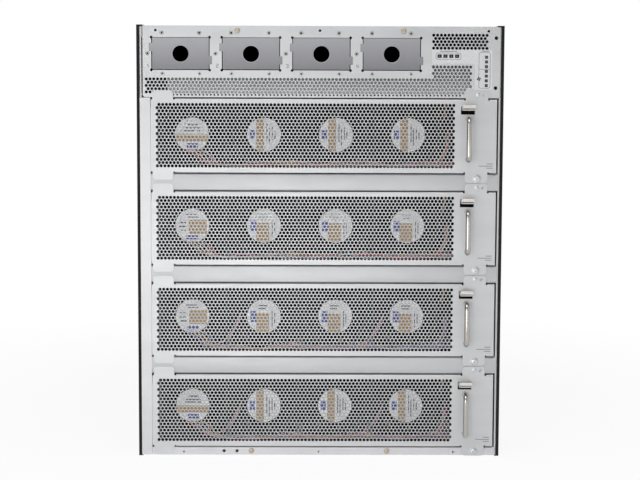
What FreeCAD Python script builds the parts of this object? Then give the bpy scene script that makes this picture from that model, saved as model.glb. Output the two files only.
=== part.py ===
import FreeCAD, Part
import Sketcher
import math
import os
import re

# Modular chassis switch, seen on the face that holds its four fan trays.
# Row frame: millimetres, +Z up, origin at the bottom centre of the bounding box. The fan tray
# face looks towards -Y and the module face, with the rack ears, towards +Y. Every body is drawn
# with Y = 0 on the front of the fan tray faces and is then placed along Y.

TRAYS = 4
FANS = 4
BLADES = 5
BAYS = 4
SLOTS = 8
HUB_SIDES = 10
BORE_SIDES = 12
ROD_SIDES = 10
BEND_STEPS = 3
HOLE_SIDES = 24
HEAD_SIDES = 12

SIZES = {
    "body_depth": (668.0, "fan tray face to the front of the rack ears"),
    "handle_reach": (22.0, "how far a tray handle stands out of the tray face"),
    "side_pan": (3.7, "depth of the black side panel's pan"),
    "side_gauge": (1.2, "sheet of the side panels"),
    "lip_gauge": (1.0, "sheet of the side panels' upper and lower lips"),
    "top_lip": (6.9, "width of a side panel's upper lip"),
    "foot_lip": (5.0, "width of a side panel's lower lip"),
    "wall_gauge": (2.0, "sheet of the shell's walls"),
    "base_gauge": (1.5, "sheet of the shell's base"),
    "cover_gauge": (1.5, "sheet of the top cover"),
    "cover_lip": (12.0, "depth of the top cover's side lips"),
    "frame_gauge": (1.5, "sheet of the stile, the rails and the upper panel"),
    "stile_width": (12.5, "width of the stile on the left edge"),
    "return_depth": (14.0, "depth of the folded returns of the rails and the upper panel"),
    "foot_rail_height": (9.9, "height of the lowest rail's face"),
    "rail_height": (19.7, "height of a rail's face between two trays"),
    "seam": (1.1, "open seam above and below a tray face"),
    "edge_gap": (0.2, "gap between the stile and the tray faces"),
    "side_gap": (2.25, "gap between the tray faces and the right wall"),
    "seat_gap": (0.2, "running gap between a tray and what carries it"),
    "panel_height": (84.3, "height of the upper panel"),
    "panel_gap": (0.9, "gap at the upper panel's left edge"),
    "panel_inset": (1.1, "wall edge left showing on the upper panel's right"),
    "panel_corner": (2.0, "corner cut of the upper panel's lower corners"),
    "tray_gauge": (1.2, "sheet of a fan tray"),
    "tray_depth": (122.0, "depth of a fan tray"),
    "tray_wall_height": (72.0, "height of a tray's side walls above its floor"),
    "tray_lip": (12.0, "depth of the tray's upper lip"),
    "floor_lift": (3.35, "height of the tray's floor above its lower edge"),
    "tab_width": (24.8, "width of a left mounting tab"),
    "tab_drop": (8.8, "height of a left mounting tab"),
    "tab_inset": (2.2, "left tab from the tray's left edge"),
    "relief": (1.2, "width and depth of the relief notch beside a tab's root"),
    "lug_width": (26.9, "width of a right mounting tab"),
    "lug_rise": (9.4, "height of the upper right tab"),
    "lug_drop": (11.4, "height of the lower right tab"),
    "lug_inset": (10.45, "right tab from the tray's right edge"),
    "tab_corner": (2.0, "corner cut of the mounting tabs"),
    "fan_size": (80.0, "side of a fan's square frame"),
    "fan_gap": (7.2, "gap between two fan frames"),
    "fan_margin": (3.9, "left edge of a tray to the first fan's half gap"),
    "grip_zone": (60.75, "blank width on the right that holds the handle and the latch"),
    "fan_setback": (27.0, "tray face to the fans' label side"),
    "fan_depth": (38.0, "depth of a fan frame"),
    "fan_wall": (2.2, "thinnest wall of a fan frame round its bore"),
    "motor_radius": (20.85, "radius of the motor base that carries the label"),
    "motor_depth": (6.0, "thickness of the motor base"),
    "strut_width": (5.0, "width of a strut between motor base and frame"),
    "strut_depth": (4.0, "depth of a strut"),
    "hub_radius": (19.5, "radius of the impeller's hub"),
    "hub_depth": (26.0, "depth of the impeller's hub"),
    "spin_gap": (0.6, "running gap between impeller and motor base"),
    "tip_gap": (0.7, "running gap between the blades and the bore"),
    "blade_chord": (11.4, "blade width across the airflow"),
    "blade_span": (22.0, "blade length along the airflow"),
    "blade_gauge": (1.8, "blade thickness"),
    "web": (5.8, "metal left between two holes of a tray's grille"),
    "grille_margin": (6.2, "left edge of a tray to the first hole of its grille"),
    "grip_inset": (34.6, "right edge of a tray to the handle and the latch"),
    "rod_radius": (2.75, "radius of the handle's rod"),
    "rod_bend": (6.0, "bend radius of the handle, on the rod's centre line"),
    "grip_low": (16.2, "lower leg of the handle above the tray's lower edge"),
    "grip_span": (48.4, "distance between the handle's legs"),
    "window_width": (16.6, "width of the latch window"),
    "window_height": (9.5, "height of the latch window"),
    "window_drop": (9.4, "top of the latch window below the tray's top edge"),
    "latch_width": (15.0, "width of the release latch"),
    "latch_height": (4.1, "height of the latch's folded tongue"),
    "latch_reach": (17.0, "how far the latch stands out of the tray face"),
    "latch_lip": (2.3, "rise of the thumb lip above the tongue"),
    "latch_lip_depth": (3.0, "thickness of the thumb lip"),
    "fold_gap": (0.9, "open fold between the tongue's two layers"),
    "fold_depth": (11.0, "depth of the open fold"),
    "catch_gauge": (2.0, "thickness of the catch plate"),
    "catch_gap": (0.4, "clearance between the catch and what is above it"),
    "latch_play": (0.3, "clearance between the tongue and the window's top edge"),
    "catch_drop": (18.0, "length of the catch plate below the tongue"),
    "catch_clear": (1.2, "gap between the rails' returns and the catch plate"),
    "screw_radius": (4.0, "radius of a tray's captive screw head"),
    "screw_height": (2.4, "height of the captive screw head"),
    "screw_inset": (22.9, "right edge of a tray to its captive screw"),
    "screw_drop": (6.4, "captive screw below the tray's lower edge"),
    "stud_radius": (2.0, "radius of the locating stud on the upper right tab"),
    "stud_rise": (5.0, "locating stud above the tray's top edge"),
    "board_gauge": (1.6, "thickness of a circuit board"),
    "board_width": (120.0, "width of a fan tray's board"),
    "board_height": (58.0, "height of a fan tray's board"),
    "board_back": (14.0, "fan tray's back edge to its board"),
    "plug_width": (44.0, "width of the board's blind-mate plug"),
    "plug_height": (12.0, "height of the blind-mate plug"),
    "plug_depth": (12.0, "depth of the blind-mate plug"),
    "lead_radius": (2.4, "half width of the bundle of fan leads"),
    "lead_setback": (12.0, "tray face to the bundle along the floor"),
    "bay_web": (14.4, "panel left between two power bays' openings"),
    "bay_height": (38.8, "height of a power bay's opening"),
    "bay_drop": (33.2, "centre of the power bays below the panel's top edge"),
    "bay_margin": (3.9, "left edge of the panel to the bays' share"),
    "lamp_zone": (87.3, "width of the panel right of the bays' share, for vents and lamps"),
    "bay_recess": (0.8, "plate face behind the panel's face"),
    "plate_gauge": (1.5, "sheet of a bay plate"),
    "plate_gap": (0.25, "clearance round a bay plate"),
    "plate_tab": (2.8, "width of a bay plate's tab"),
    "plate_tab_height": (9.6, "height of a bay plate's tab"),
    "plate_tab_offset": (7.6, "tab above or below the plate's centre"),
    "plate_hole_radius": (9.5, "radius of the round hole in a bay plate"),
    "vent_web": (4.6, "metal left between the holes of the upper panel"),
    "vent_left": (4.0, "left edge of the panel to its row of vents"),
    "vent_right": (34.0, "right edge of the panel to its row of vents"),
    "vent_rise": (12.6, "row of vents above the panel's lower edge"),
    "grid_left": (14.9, "bays' share to the first vent of the upper group"),
    "grid_right": (19.4, "right edge of the panel to the last vent of the upper group"),
    "grid_drop": (18.0, "upper group of vents below the panel's top edge"),
    "lamp_width": (5.1, "width of a supply lamp window"),
    "lamp_height": (4.1, "height of a supply lamp window"),
    "lamp_pitch": (6.93, "pitch of the supply lamps"),
    "lamp_inset": (15.1, "bays' share to the first supply lamp"),
    "lamp_drop": (35.0, "supply lamps below the panel's top edge"),
    "tell_size": (3.6, "side of a fan lamp window"),
    "tell_pitch": (5.6, "pitch of the fan lamps"),
    "tell_inset": (16.3, "right edge of the panel to the fan lamps"),
    "tell_drop": (36.1, "first fan lamp below the panel's top edge"),
    "lamp_gap": (0.2, "clearance of a lamp in its window"),
    "lamp_board": (2.5, "thickness of the lamps' carrier behind the panel"),
    "pan_head_radius": (3.0, "radius of a pan head screw"),
    "pan_head_height": (1.8, "height of a pan head screw"),
    "pan_head_drop": (5.6, "upper pan heads below the panel's top edge"),
    "pan_head_spread": (98.9, "upper pan heads from the centre"),
    "foot_head_spread": (82.4, "lower pan heads from the centre"),
    "guide_gauge": (1.5, "sheet of a tray guide"),
    "guide_width": (17.0, "width of a tray guide's shelf"),
    "guide_drop": (7.0, "height of a tray guide's leg below its shelf"),
    "shelf_gauge": (1.5, "sheet of the shelf above the trays"),
    "fit_gap": (0.2, "clearance of a fixed piece between its neighbours"),
    "midplane_gap": (28.0, "back of the fan trays to the midplane"),
    "midplane_gauge": (3.2, "thickness of the midplane"),
    "cage_gauge": (1.2, "sheet of the power cage"),
    "cage_drop": (4.5, "cage floor below the bays' openings"),
    "apron_setback": (4.0, "upper panel's back to the cage's apron"),
    "supply_depth": (300.0, "depth of a power supply module"),
    "supply_face": (1.5, "thickness of a supply module's face"),
    "supply_gap": (0.6, "clearance beside and above a supply module"),
    "slot_inset": (13.65, "side panel to the rack slots, which puts them 465.1 mm apart"),
    "slot_edge": (8.75, "rack slots' centres to the edge of the ear"),
    "ear_gauge": (2.5, "thickness of the front frame and its rack ears"),
    "slot_drop": (38.0, "outer rack slots from the frame's upper and lower edges"),
    "slot_radius": (3.4, "half height of a rack slot"),
    "slot_length": (10.0, "length of a rack slot"),
    "window_margin": (9.0, "shell wall to the front frame's windows"),
    "cover_gap": (0.25, "clearance round a slot cover"),
    "cover_return": (10.0, "depth of a slot cover's folded returns"),
}

doc = FreeCAD.newDocument("ModularChassisSwitch")
sheet = doc.addObject("Spreadsheet::Sheet", "Sizes")
for row, (alias, (number, note)) in enumerate(SIZES.items(), start=1):
    sheet.set(f"A{row}", note)
    sheet.set(f"B{row}", str(number))
    sheet.setAlias(f"B{row}", alias)
doc.recompute()


def bound(text):
    """The expression with each of the sheet's names pointing at its cell."""
    return re.sub(r"[a-z_]+", lambda word: "Sizes." + word[0] if word[0] in SIZES else word[0], text)


# Sizes and places that follow from the driving ones, as expressions.
FAN_PITCH = "(fan_size + fan_gap)"
TRAY_WIDTH = f"(fan_margin + {FANS} * {FAN_PITCH} + grip_zone)"
SHELL_WIDTH = f"(stile_width + edge_gap + {TRAY_WIDTH} + side_gap + wall_gauge)"
SHELL = f"({SHELL_WIDTH} / 2)"
INNER = f"({SHELL} - wall_gauge)"
TRAY_LEFT = f"(stile_width + edge_gap - {SHELL})"
TRAY_RIGHT = f"({TRAY_LEFT} + {TRAY_WIDTH})"
TRAY_HEIGHT = "(fan_size + 2 * (tray_gauge + floor_lift))"
TRAY_PITCH = f"({TRAY_HEIGHT} + rail_height + 2 * seam)"
LOWEST_TRAY = "(lip_gauge + foot_rail_height + seam)"
PANEL_Z = f"({LOWEST_TRAY} + {TRAYS - 1} * {TRAY_PITCH} + {TRAY_HEIGHT} + seam)"
PANEL_TOP = f"({PANEL_Z} + panel_height)"
BODY_HEIGHT = f"({PANEL_TOP} + lip_gauge)"
PANEL_LEFT = f"(panel_gap - {INNER})"
PANEL_RIGHT = f"({SHELL} - panel_inset)"
FRAME_Y = "(tray_gauge + seat_gap)"
FRAME_BACK = f"({FRAME_Y} + frame_gauge)"
SHELL_END = "(body_depth - ear_gauge)"
FACE_Y = "((handle_reach - body_depth) / 2)"
SHELF_Z = f"({PANEL_Z} + frame_gauge)"
BAY_ZONE = f"({PANEL_RIGHT} - {PANEL_LEFT} - bay_margin - lamp_zone)"
BAY_PITCH = f"({BAY_ZONE} / {BAYS})"
BAY_WIDTH = f"({BAY_PITCH} - bay_web)"
BAY_Z = f"({PANEL_TOP} - bay_drop)"
CAGE_Z = f"({BAY_Z} - bay_height / 2 - cage_drop)"
COVER_Z = f"({PANEL_TOP} - cover_gauge)"
GRIP_X = f"({TRAY_RIGHT} - grip_inset)"
BORE = f"((fan_size / 2 - fan_wall) / {math.cos(math.pi / BORE_SIDES):.6f})"


def bay_x(bay):
    return f"({PANEL_LEFT} + bay_margin + {BAY_PITCH} * {bay + 0.5})"


def fan_x(fan):
    return f"({TRAY_LEFT} + fan_margin + {FAN_PITCH} * {fan + 0.5})"


def place(thing, x="0", y="0", z="0"):
    for axis, text in (("x", x), ("y", y), ("z", z)):
        thing.setExpression(f"Placement.Base.{axis}", bound(text))


def new_body(label, z="0", several=False):
    """An empty body whose Y = 0 lies on the tray faces; several lets it hold separate solids."""
    body = doc.addObject("PartDesign::Body", label)
    body.Label = label
    body.AllowCompound = several
    place(body, y=FACE_Y, z=z)
    return body


def origin_part(body, role):
    for feature in body.Origin.OriginFeatures:
        if feature.Role == role:
            return feature
    raise ValueError(role)


def sketch_on(body, role, name, offset="0"):
    """A sketch on one of the body's own planes, moved along that plane's normal by offset."""
    sketch = body.newObject("Sketcher::SketchObject", name)
    sketch.AttachmentSupport = [(origin_part(body, role), "")]
    sketch.MapMode = "FlatFace"
    sketch.setExpression("AttachmentOffset.Base.z", bound(offset))
    return sketch


def measure(sketch, kind, geometry, point, text, guess):
    """Drive one distance of a point from the sketch's origin by an expression."""
    rule = Sketcher.Constraint(kind, -1, 1, geometry, point, guess)
    sketch.setExpression(f"Constraints[{sketch.addConstraint(rule)}]", bound(text))


def hold(sketch, geometry, point, x, y, spot):
    """Fix a point of the sketch by its two distances from the origin."""
    measure(sketch, "DistanceX", geometry, point, x, spot.x)
    measure(sketch, "DistanceY", geometry, point, y, spot.y)


def outline(sketch, corners):
    """A closed straight-edged loop through corners, each a pair of expressions."""
    first = sketch.GeometryCount
    count = len(corners)
    turn = 2 * math.pi / count
    spots = [FreeCAD.Vector(50 * math.cos(turn * k), 50 * math.sin(turn * k), 0) for k in range(count)]
    for k in range(count):
        sketch.addGeometry(Part.LineSegment(spots[k], spots[(k + 1) % count]))
    for k in range(count):
        link = Sketcher.Constraint("Coincident", first + k, 2, first + (k + 1) % count, 1)
        sketch.addConstraint(link)
    for k, (x, y) in enumerate(corners):
        hold(sketch, first + k, 1, x, y, spots[k])


def open_line(sketch, stops):
    """A run of straight edges through stops, each a pair of expressions."""
    spots = [FreeCAD.Vector(10 * k, k * k, 0) for k in range(len(stops))]
    for k, (x, y) in enumerate(stops[:-1]):
        edge = sketch.addGeometry(Part.LineSegment(spots[k], spots[k + 1]))
        hold(sketch, edge, 1, x, y, spots[k])
        if k:
            sketch.addConstraint(Sketcher.Constraint("Coincident", edge - 1, 2, edge, 1))
    hold(sketch, edge, 2, *stops[-1], spots[-1])


def rectangle(sketch, left, right, low, high):
    outline(sketch, [(left, low), (right, low), (right, high), (left, high)])


def regular(sketch, sides, x, y, radius, start=0.0):
    """A regular polygon of given corner radius; start is the first corner's angle in degrees."""
    corners = []
    for k in range(sides):
        angle = math.radians(start) + 2 * math.pi * k / sides
        corners.append((f"{x} + {radius} * {math.cos(angle):.6f}", f"{y} + {radius} * {math.sin(angle):.6f}"))
    outline(sketch, corners)


def pad(body, sketch, length, name, back=False, middle=False):
    """Material from the sketch along its plane's normal, against it, or to both sides."""
    feature = body.newObject("PartDesign::Pad", name)
    feature.Profile = sketch
    feature.Midplane = middle
    feature.Reversed = back
    feature.setExpression("Length", bound(length))
    body.Tip = feature
    return feature


def cut_through(body, sketch, name):
    """A pocket right through, to both sides of its sketch; the volume has to fall."""
    before = solid_volume(body)
    feature = body.newObject("PartDesign::Pocket", name)
    feature.Profile = sketch
    feature.Type = "ThroughAll"
    feature.Midplane = True
    body.Tip = feature
    if solid_volume(body) >= before:
        raise RuntimeError(f"{name} cuts nothing")
    return feature


def solid_volume(body):
    doc.recompute()
    return body.Shape.Volume


def line_step(body, sketch, axis, step, count):
    """One direction of a pattern: count copies, step apart, along the sketch's own axis."""
    feature = body.newObject("PartDesign::LinearPattern", "Along")
    feature.Direction = (sketch, [axis])
    feature.setExpression("Length", bound(f"{step} * {count - 1}"))
    feature.Occurrences = count
    return feature


def repeat(body, original, sketch, steps, name):
    """Copies of a feature in one or two directions; steps holds (axis, step, count)."""
    pattern = body.newObject("PartDesign::MultiTransform", name)
    directions = [line_step(body, sketch, *step) for step in steps]
    pattern.Originals = [original]
    pattern.Transformations = directions
    body.Tip = pattern
    return pattern


def clone(master, label, x="0", y="0", z="0"):
    """Another body of the same form; x, y and z place it."""
    body = doc.addObject("PartDesign::Body", label)
    body.Label = label
    body.AllowCompound = master.AllowCompound
    copy = body.newObject("PartDesign::FeatureBase", "Copy")
    copy.BaseFeature = master
    body.Tip = copy
    place(body, x, y, z)
    return body


NODES = {}


def chassis_shell():
    """Folded shell: base and two walls in one sheet, with the stile on the left edge."""
    body = new_body("chassis_shell")
    section = sketch_on(body, "XZ_Plane", "ShellSection", f"-{FRAME_BACK}")
    outline(section, [
        (f"-{SHELL}", "lip_gauge"), (SHELL, "lip_gauge"),
        (SHELL, COVER_Z), (INNER, COVER_Z),
        (INNER, "lip_gauge + base_gauge"), (f"-{INNER}", "lip_gauge + base_gauge"),
        (f"-{INNER}", COVER_Z), (f"-{SHELL}", COVER_Z),
    ])
    pad(body, section, f"{SHELL_END} - {FRAME_BACK}", "Walls", back=True)
    stile = sketch_on(body, "XZ_Plane", "StileOutline", f"-{FRAME_Y}")
    rectangle(stile, f"-{SHELL}", f"stile_width - {SHELL}", "lip_gauge", f"{PANEL_Z} - seam")
    pad(body, stile, "frame_gauge", "Stile", back=True)
    return body


def top_cover():
    """Flat lid on the shell's walls, with a lip down the inside of each wall."""
    body = new_body("top_cover")
    section = sketch_on(body, "XZ_Plane", "CoverSection", f"-{FRAME_BACK}")
    lip = f"({INNER} - fit_gap)"
    outline(section, [
        (f"-{SHELL}", COVER_Z), (f"-{lip}", COVER_Z), (f"-{lip}", f"{COVER_Z} - cover_lip"),
        (f"cover_gauge - {lip}", f"{COVER_Z} - cover_lip"), (f"cover_gauge - {lip}", COVER_Z),
        (f"{lip} - cover_gauge", COVER_Z), (f"{lip} - cover_gauge", f"{COVER_Z} - cover_lip"),
        (lip, f"{COVER_Z} - cover_lip"), (lip, COVER_Z), (SHELL, COVER_Z),
        (SHELL, PANEL_TOP), (f"-{SHELL}", PANEL_TOP),
    ])
    pad(body, section, f"{SHELL_END} - {FRAME_BACK}", "Lid", back=True)
    return body


def side_panel(label, side):
    """Black pan on the shell's side: outer sheet, two end returns, upper and lower lips."""
    body = new_body(label)
    outer = f"{side} * ({SHELL} + side_pan)"
    inside = f"{side} * ({SHELL} + side_pan - side_gauge)"
    section = sketch_on(body, "XZ_Plane", "PanSection", f"-{FRAME_Y}")
    outline(section, [
        (outer, "0"), (outer, BODY_HEIGHT),
        (f"{side} * ({SHELL} + side_pan - top_lip)", BODY_HEIGHT),
        (f"{side} * ({SHELL} + side_pan - top_lip)", PANEL_TOP),
        (inside, PANEL_TOP), (inside, "lip_gauge"),
        (f"{side} * ({SHELL} + side_pan - foot_lip)", "lip_gauge"),
        (f"{side} * ({SHELL} + side_pan - foot_lip)", "0"),
    ])
    pad(body, section, f"{SHELL_END} - {FRAME_Y}", "Pan", back=True)
    for name, start in (("FaceReturn", FRAME_Y), ("EarReturn", f"({SHELL_END} - side_gauge)")):
        end = sketch_on(body, "XZ_Plane", name + "Outline", f"-{start}")
        rectangle(end, f"{side} * {SHELL}", outer, "lip_gauge", PANEL_TOP)
        pad(body, end, "side_gauge", name, back=True)
    return body


def channel(low, high):
    """Corners of a rail's section: a face with a return behind each long edge."""
    deep = f"{FRAME_Y} + return_depth"
    return [
        (FRAME_Y, low), (deep, low), (deep, f"{low} + frame_gauge"),
        (FRAME_BACK, f"{low} + frame_gauge"), (FRAME_BACK, f"{high} - frame_gauge"),
        (deep, f"{high} - frame_gauge"), (deep, high), (FRAME_Y, high),
    ]


def crossmembers():
    """Folded rails between the trays, and the lower rail along the foot."""
    body = new_body("crossmembers", several=True)
    foot = sketch_on(body, "YZ_Plane", "FootSection", TRAY_LEFT)
    outline(foot, [
        (FRAME_Y, "lip_gauge"), (FRAME_BACK, "lip_gauge"),
        (FRAME_BACK, f"{LOWEST_TRAY} - seam - frame_gauge"),
        (f"{FRAME_Y} + return_depth", f"{LOWEST_TRAY} - seam - frame_gauge"),
        (f"{FRAME_Y} + return_depth", f"{LOWEST_TRAY} - seam"), (FRAME_Y, f"{LOWEST_TRAY} - seam"),
    ])
    pad(body, foot, TRAY_WIDTH, "FootRail")
    low = f"({LOWEST_TRAY} + {TRAY_HEIGHT} + seam)"
    rail = sketch_on(body, "YZ_Plane", "RailSection", TRAY_LEFT)
    outline(rail, channel(low, f"({low} + rail_height)"))
    first = pad(body, rail, TRAY_WIDTH, "Rail")
    repeat(body, first, rail, [("V_Axis", TRAY_PITCH, TRAYS - 1)], "Rails")
    return body


def bay_corners(bay, slack):
    """A power bay's opening with its two tab notches, or its plate where slack is a clearance."""
    x = bay_x(bay)
    left = f"{x} - {BAY_WIDTH} / 2 + {slack}"
    right = f"{x} + {BAY_WIDTH} / 2 - {slack}"
    low = f"{BAY_Z} - bay_height / 2 + {slack}"
    high = f"{BAY_Z} + bay_height / 2 - {slack}"
    half = f"plate_tab_height / 2 - {slack}"
    return [
        (left, low), (right, low),
        (right, f"{BAY_Z} - plate_tab_offset - ({half})"),
        (f"{right} + plate_tab", f"{BAY_Z} - plate_tab_offset - ({half})"),
        (f"{right} + plate_tab", f"{BAY_Z} - plate_tab_offset + {half}"),
        (right, f"{BAY_Z} - plate_tab_offset + {half}"),
        (right, high), (left, high),
        (left, f"{BAY_Z} + plate_tab_offset + {half}"),
        (f"{left} - plate_tab", f"{BAY_Z} + plate_tab_offset + {half}"),
        (f"{left} - plate_tab", f"{BAY_Z} + plate_tab_offset - ({half})"),
        (left, f"{BAY_Z} + plate_tab_offset - ({half})"),
    ]


VENT_COUNT = 22
VENT_PITCH = f"(({PANEL_RIGHT} - {PANEL_LEFT} - vent_left - vent_right) / {VENT_COUNT})"
VENT_RADIUS = f"(({VENT_PITCH} - vent_web) * {1 / math.sqrt(3):.6f})"
VENT_START = f"({PANEL_LEFT} + vent_left + {VENT_PITCH} / 2)"
GRID_COUNT = 4
GRID_START = f"({PANEL_RIGHT} - lamp_zone + grid_left)"
GRID_PITCH = f"((lamp_zone - grid_left - grid_right) / {GRID_COUNT - 1})"
GRID_RADIUS = f"(({GRID_PITCH} - vent_web) * {1 / math.sqrt(3):.6f})"
TELLS = 7


def lamp_spots():
    """Centre, width and height of each lamp window on the upper panel."""
    spots = []
    for lamp in range(BAYS):
        x = f"({PANEL_RIGHT} - lamp_zone + lamp_inset + lamp_pitch * {lamp})"
        spots.append((x, f"({PANEL_TOP} - lamp_drop)", "lamp_width", "lamp_height"))
    for lamp in range(TELLS):
        z = f"({PANEL_TOP} - tell_drop - tell_pitch * {lamp})"
        spots.append((f"({PANEL_RIGHT} - tell_inset)", z, "tell_size", "tell_size"))
    return spots


def upper_panel():
    """Panel above the trays: power bays, lamp windows and rows of hexagonal vents."""
    body = new_body("upper_panel")
    face = sketch_on(body, "XZ_Plane", "PanelOutline", f"-{FRAME_Y}")
    outline(face, [
        (f"{PANEL_LEFT} + panel_corner", PANEL_Z), (f"{PANEL_RIGHT} - panel_corner", PANEL_Z),
        (PANEL_RIGHT, f"{PANEL_Z} + panel_corner"), (PANEL_RIGHT, PANEL_TOP),
        (PANEL_LEFT, PANEL_TOP), (PANEL_LEFT, f"{PANEL_Z} + panel_corner"),
    ])
    pad(body, face, "frame_gauge", "Face", back=True)
    fold = sketch_on(body, "XZ_Plane", "ReturnOutline", f"-{FRAME_Y}")
    rectangle(fold, TRAY_LEFT, TRAY_RIGHT, PANEL_Z, SHELF_Z)
    pad(body, fold, "return_depth", "Return", back=True)
    openings = sketch_on(body, "XZ_Plane", "BayOpenings")
    for bay in range(BAYS):
        outline(openings, bay_corners(bay, "0"))
    cut_through(body, openings, "PowerBays")
    windows = sketch_on(body, "XZ_Plane", "LampWindows")
    for x, z, wide, high in lamp_spots():
        rectangle(windows, f"{x} - {wide} / 2", f"{x} + {wide} / 2", f"{z} - {high} / 2", f"{z} + {high} / 2")
    cut_through(body, windows, "Lamps")
    lower = f"{PANEL_Z} + vent_rise + {VENT_PITCH} * {math.sqrt(3) / 2:.6f}"
    groups = (
        ("VentRow", VENT_START, f"{PANEL_Z} + vent_rise", VENT_RADIUS, VENT_PITCH, VENT_COUNT),
        ("UpperVents", GRID_START, f"{PANEL_TOP} - grid_drop", GRID_RADIUS, GRID_PITCH, GRID_COUNT),
        ("LowerVents", f"{GRID_START} + {GRID_PITCH} / 6", lower, GRID_RADIUS, GRID_PITCH, GRID_COUNT - 1),
    )
    for name, x, z, radius, pitch, count in groups:
        vent = sketch_on(body, "XZ_Plane", name + "Outline")
        regular(vent, 6, x, z, radius, 30)
        first = cut_through(body, vent, name)
        repeat(body, first, vent, [("H_Axis", pitch, count)], name + "Copies")
    return body


def power_bay_plates():
    """One plate in each bay, held by two tabs, with a round hole."""
    body = new_body("power_bay_plates", several=True)
    plates = sketch_on(body, "XZ_Plane", "PlateOutlines", f"-({FRAME_Y} + bay_recess)")
    for bay in range(BAYS):
        outline(plates, bay_corners(bay, "plate_gap"))
    pad(body, plates, "plate_gauge", "Plates", back=True)
    holes = sketch_on(body, "XZ_Plane", "PlateHoles")
    for bay in range(BAYS):
        regular(holes, HOLE_SIDES, bay_x(bay), BAY_Z, "plate_hole_radius")
    cut_through(body, holes, "Holes")
    return body


def power_cage():
    """Sheet cage behind the bays: floor, dividers between the supplies and an apron below."""
    body = new_body("power_cage")
    dividers = [f"({PANEL_LEFT} + bay_margin + {BAY_PITCH} * {k})" for k in range(BAYS + 1)]
    top = f"({COVER_Z} - fit_gap)"
    floor = f"({CAGE_Z} + cage_gauge)"
    corners = [(f"{dividers[0]} - cage_gauge / 2", CAGE_Z), (f"{dividers[-1]} + cage_gauge / 2", CAGE_Z)]
    for x in reversed(dividers):
        for edge, z in (("+", floor), ("+", top), ("-", top), ("-", floor)):
            corners.append((f"{x} {edge} cage_gauge / 2", z))
    corners.remove((f"{dividers[-1]} + cage_gauge / 2", floor))
    corners.remove((f"{dividers[0]} - cage_gauge / 2", floor))
    start = f"({FRAME_BACK} + apron_setback)"
    comb = sketch_on(body, "XZ_Plane", "CageSection", f"-{start}")
    outline(comb, corners)
    pad(body, comb, f"{SHELL_END} - fit_gap - {start}", "Cage", back=True)
    apron = sketch_on(body, "XZ_Plane", "ApronOutline", f"-{start}")
    rectangle(apron, dividers[0], dividers[-1], f"{SHELF_Z} + shelf_gauge", CAGE_Z)
    pad(body, apron, "cage_gauge", "Apron", back=True)
    return body


def status_lamps():
    """Two lamp carriers behind the panel, with a light pipe in each window."""
    body = new_body("status_lamps", several=True)
    spots = lamp_spots()
    for name, group in (("Supply", spots[:BAYS]), ("Fan", spots[BAYS:])):
        (x0, z0, wide, high), (x1, z1, _, _) = group[0], group[-1]
        board = sketch_on(body, "XZ_Plane", name + "Carrier", f"-{FRAME_BACK}")
        rectangle(board, f"{x0} - {wide}", f"{x1} + {wide}", f"{z1} - {high}", f"{z0} + {high}")
        pad(body, board, "lamp_board", name + "Board", back=True)
        pipes = sketch_on(body, "XZ_Plane", name + "Pipes", f"-{FRAME_BACK}")
        for x, z, wide, high in group:
            half = f"({wide} / 2 - lamp_gap)"
            tall = f"({high} / 2 - lamp_gap)"
            rectangle(pipes, f"{x} - {half}", f"{x} + {half}", f"{z} - {tall}", f"{z} + {tall}")
        pad(body, pipes, "frame_gauge - lamp_gap", name + "Lamps")
    return body


def panel_screws():
    """Pan head screws on the upper panel and on the foot rail."""
    body = new_body("panel_screws", several=True)
    heads = sketch_on(body, "XZ_Plane", "Heads", f"-{FRAME_Y}")
    for side in (-1, 1):
        for x, z in (("pan_head_spread", f"{PANEL_TOP} - pan_head_drop"),
                     ("foot_head_spread", "lip_gauge + foot_rail_height / 2")):
            regular(heads, HEAD_SIDES, f"{side} * {x}", z, "pan_head_radius")
    pad(body, heads, "pan_head_height", "PanHeads")
    return body


def midplane():
    """Board between the fan trays and the modules, from the base to the shelf."""
    body = new_body("midplane")
    board = sketch_on(body, "XZ_Plane", "MidplaneOutline", "-(tray_depth + midplane_gap)")
    wide = f"({INNER} - fit_gap)"
    rectangle(board, f"-{wide}", wide, "lip_gauge + base_gauge + fit_gap", f"{SHELF_Z} - fit_gap")
    pad(body, board, "midplane_gauge", "Board", back=True)
    return body


def tray_guides():
    """Angle on each wall under each tray's floor."""
    body = new_body("tray_guides", several=True)
    top = f"({LOWEST_TRAY} + floor_lift - seat_gap)"
    start = f"({FRAME_Y} + return_depth + seat_gap)"
    for name, side in (("Left", -1), ("Right", 1)):
        wall = f"{side} * {INNER}"
        web = f"{side} * ({INNER} - guide_gauge)"
        tip = f"{side} * ({INNER} - guide_width)"
        section = sketch_on(body, "XZ_Plane", name + "GuideSection", f"-{start}")
        outline(section, [
            (wall, top), (tip, top), (tip, f"{top} - guide_gauge"),
            (web, f"{top} - guide_gauge"), (web, f"{top} - guide_drop"), (wall, f"{top} - guide_drop"),
        ])
        first = pad(body, section, f"tray_depth - {start}", name + "Guide", back=True)
        repeat(body, first, section, [("V_Axis", TRAY_PITCH, TRAYS)], name + "Guides")
    return body


def mid_shelf():
    """Shelf over the fan trays and the card cage, resting on the upper panel's return."""
    body = new_body("mid_shelf")
    section = sketch_on(body, "XZ_Plane", "ShelfSection", f"-{FRAME_BACK}")
    wide = f"({INNER} - fit_gap)"
    rectangle(section, f"-{wide}", wide, SHELF_Z, f"{SHELF_Z} + shelf_gauge")
    pad(body, section, f"{SHELL_END} - fit_gap - {FRAME_BACK}", "Shelf", back=True)
    return body


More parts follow.
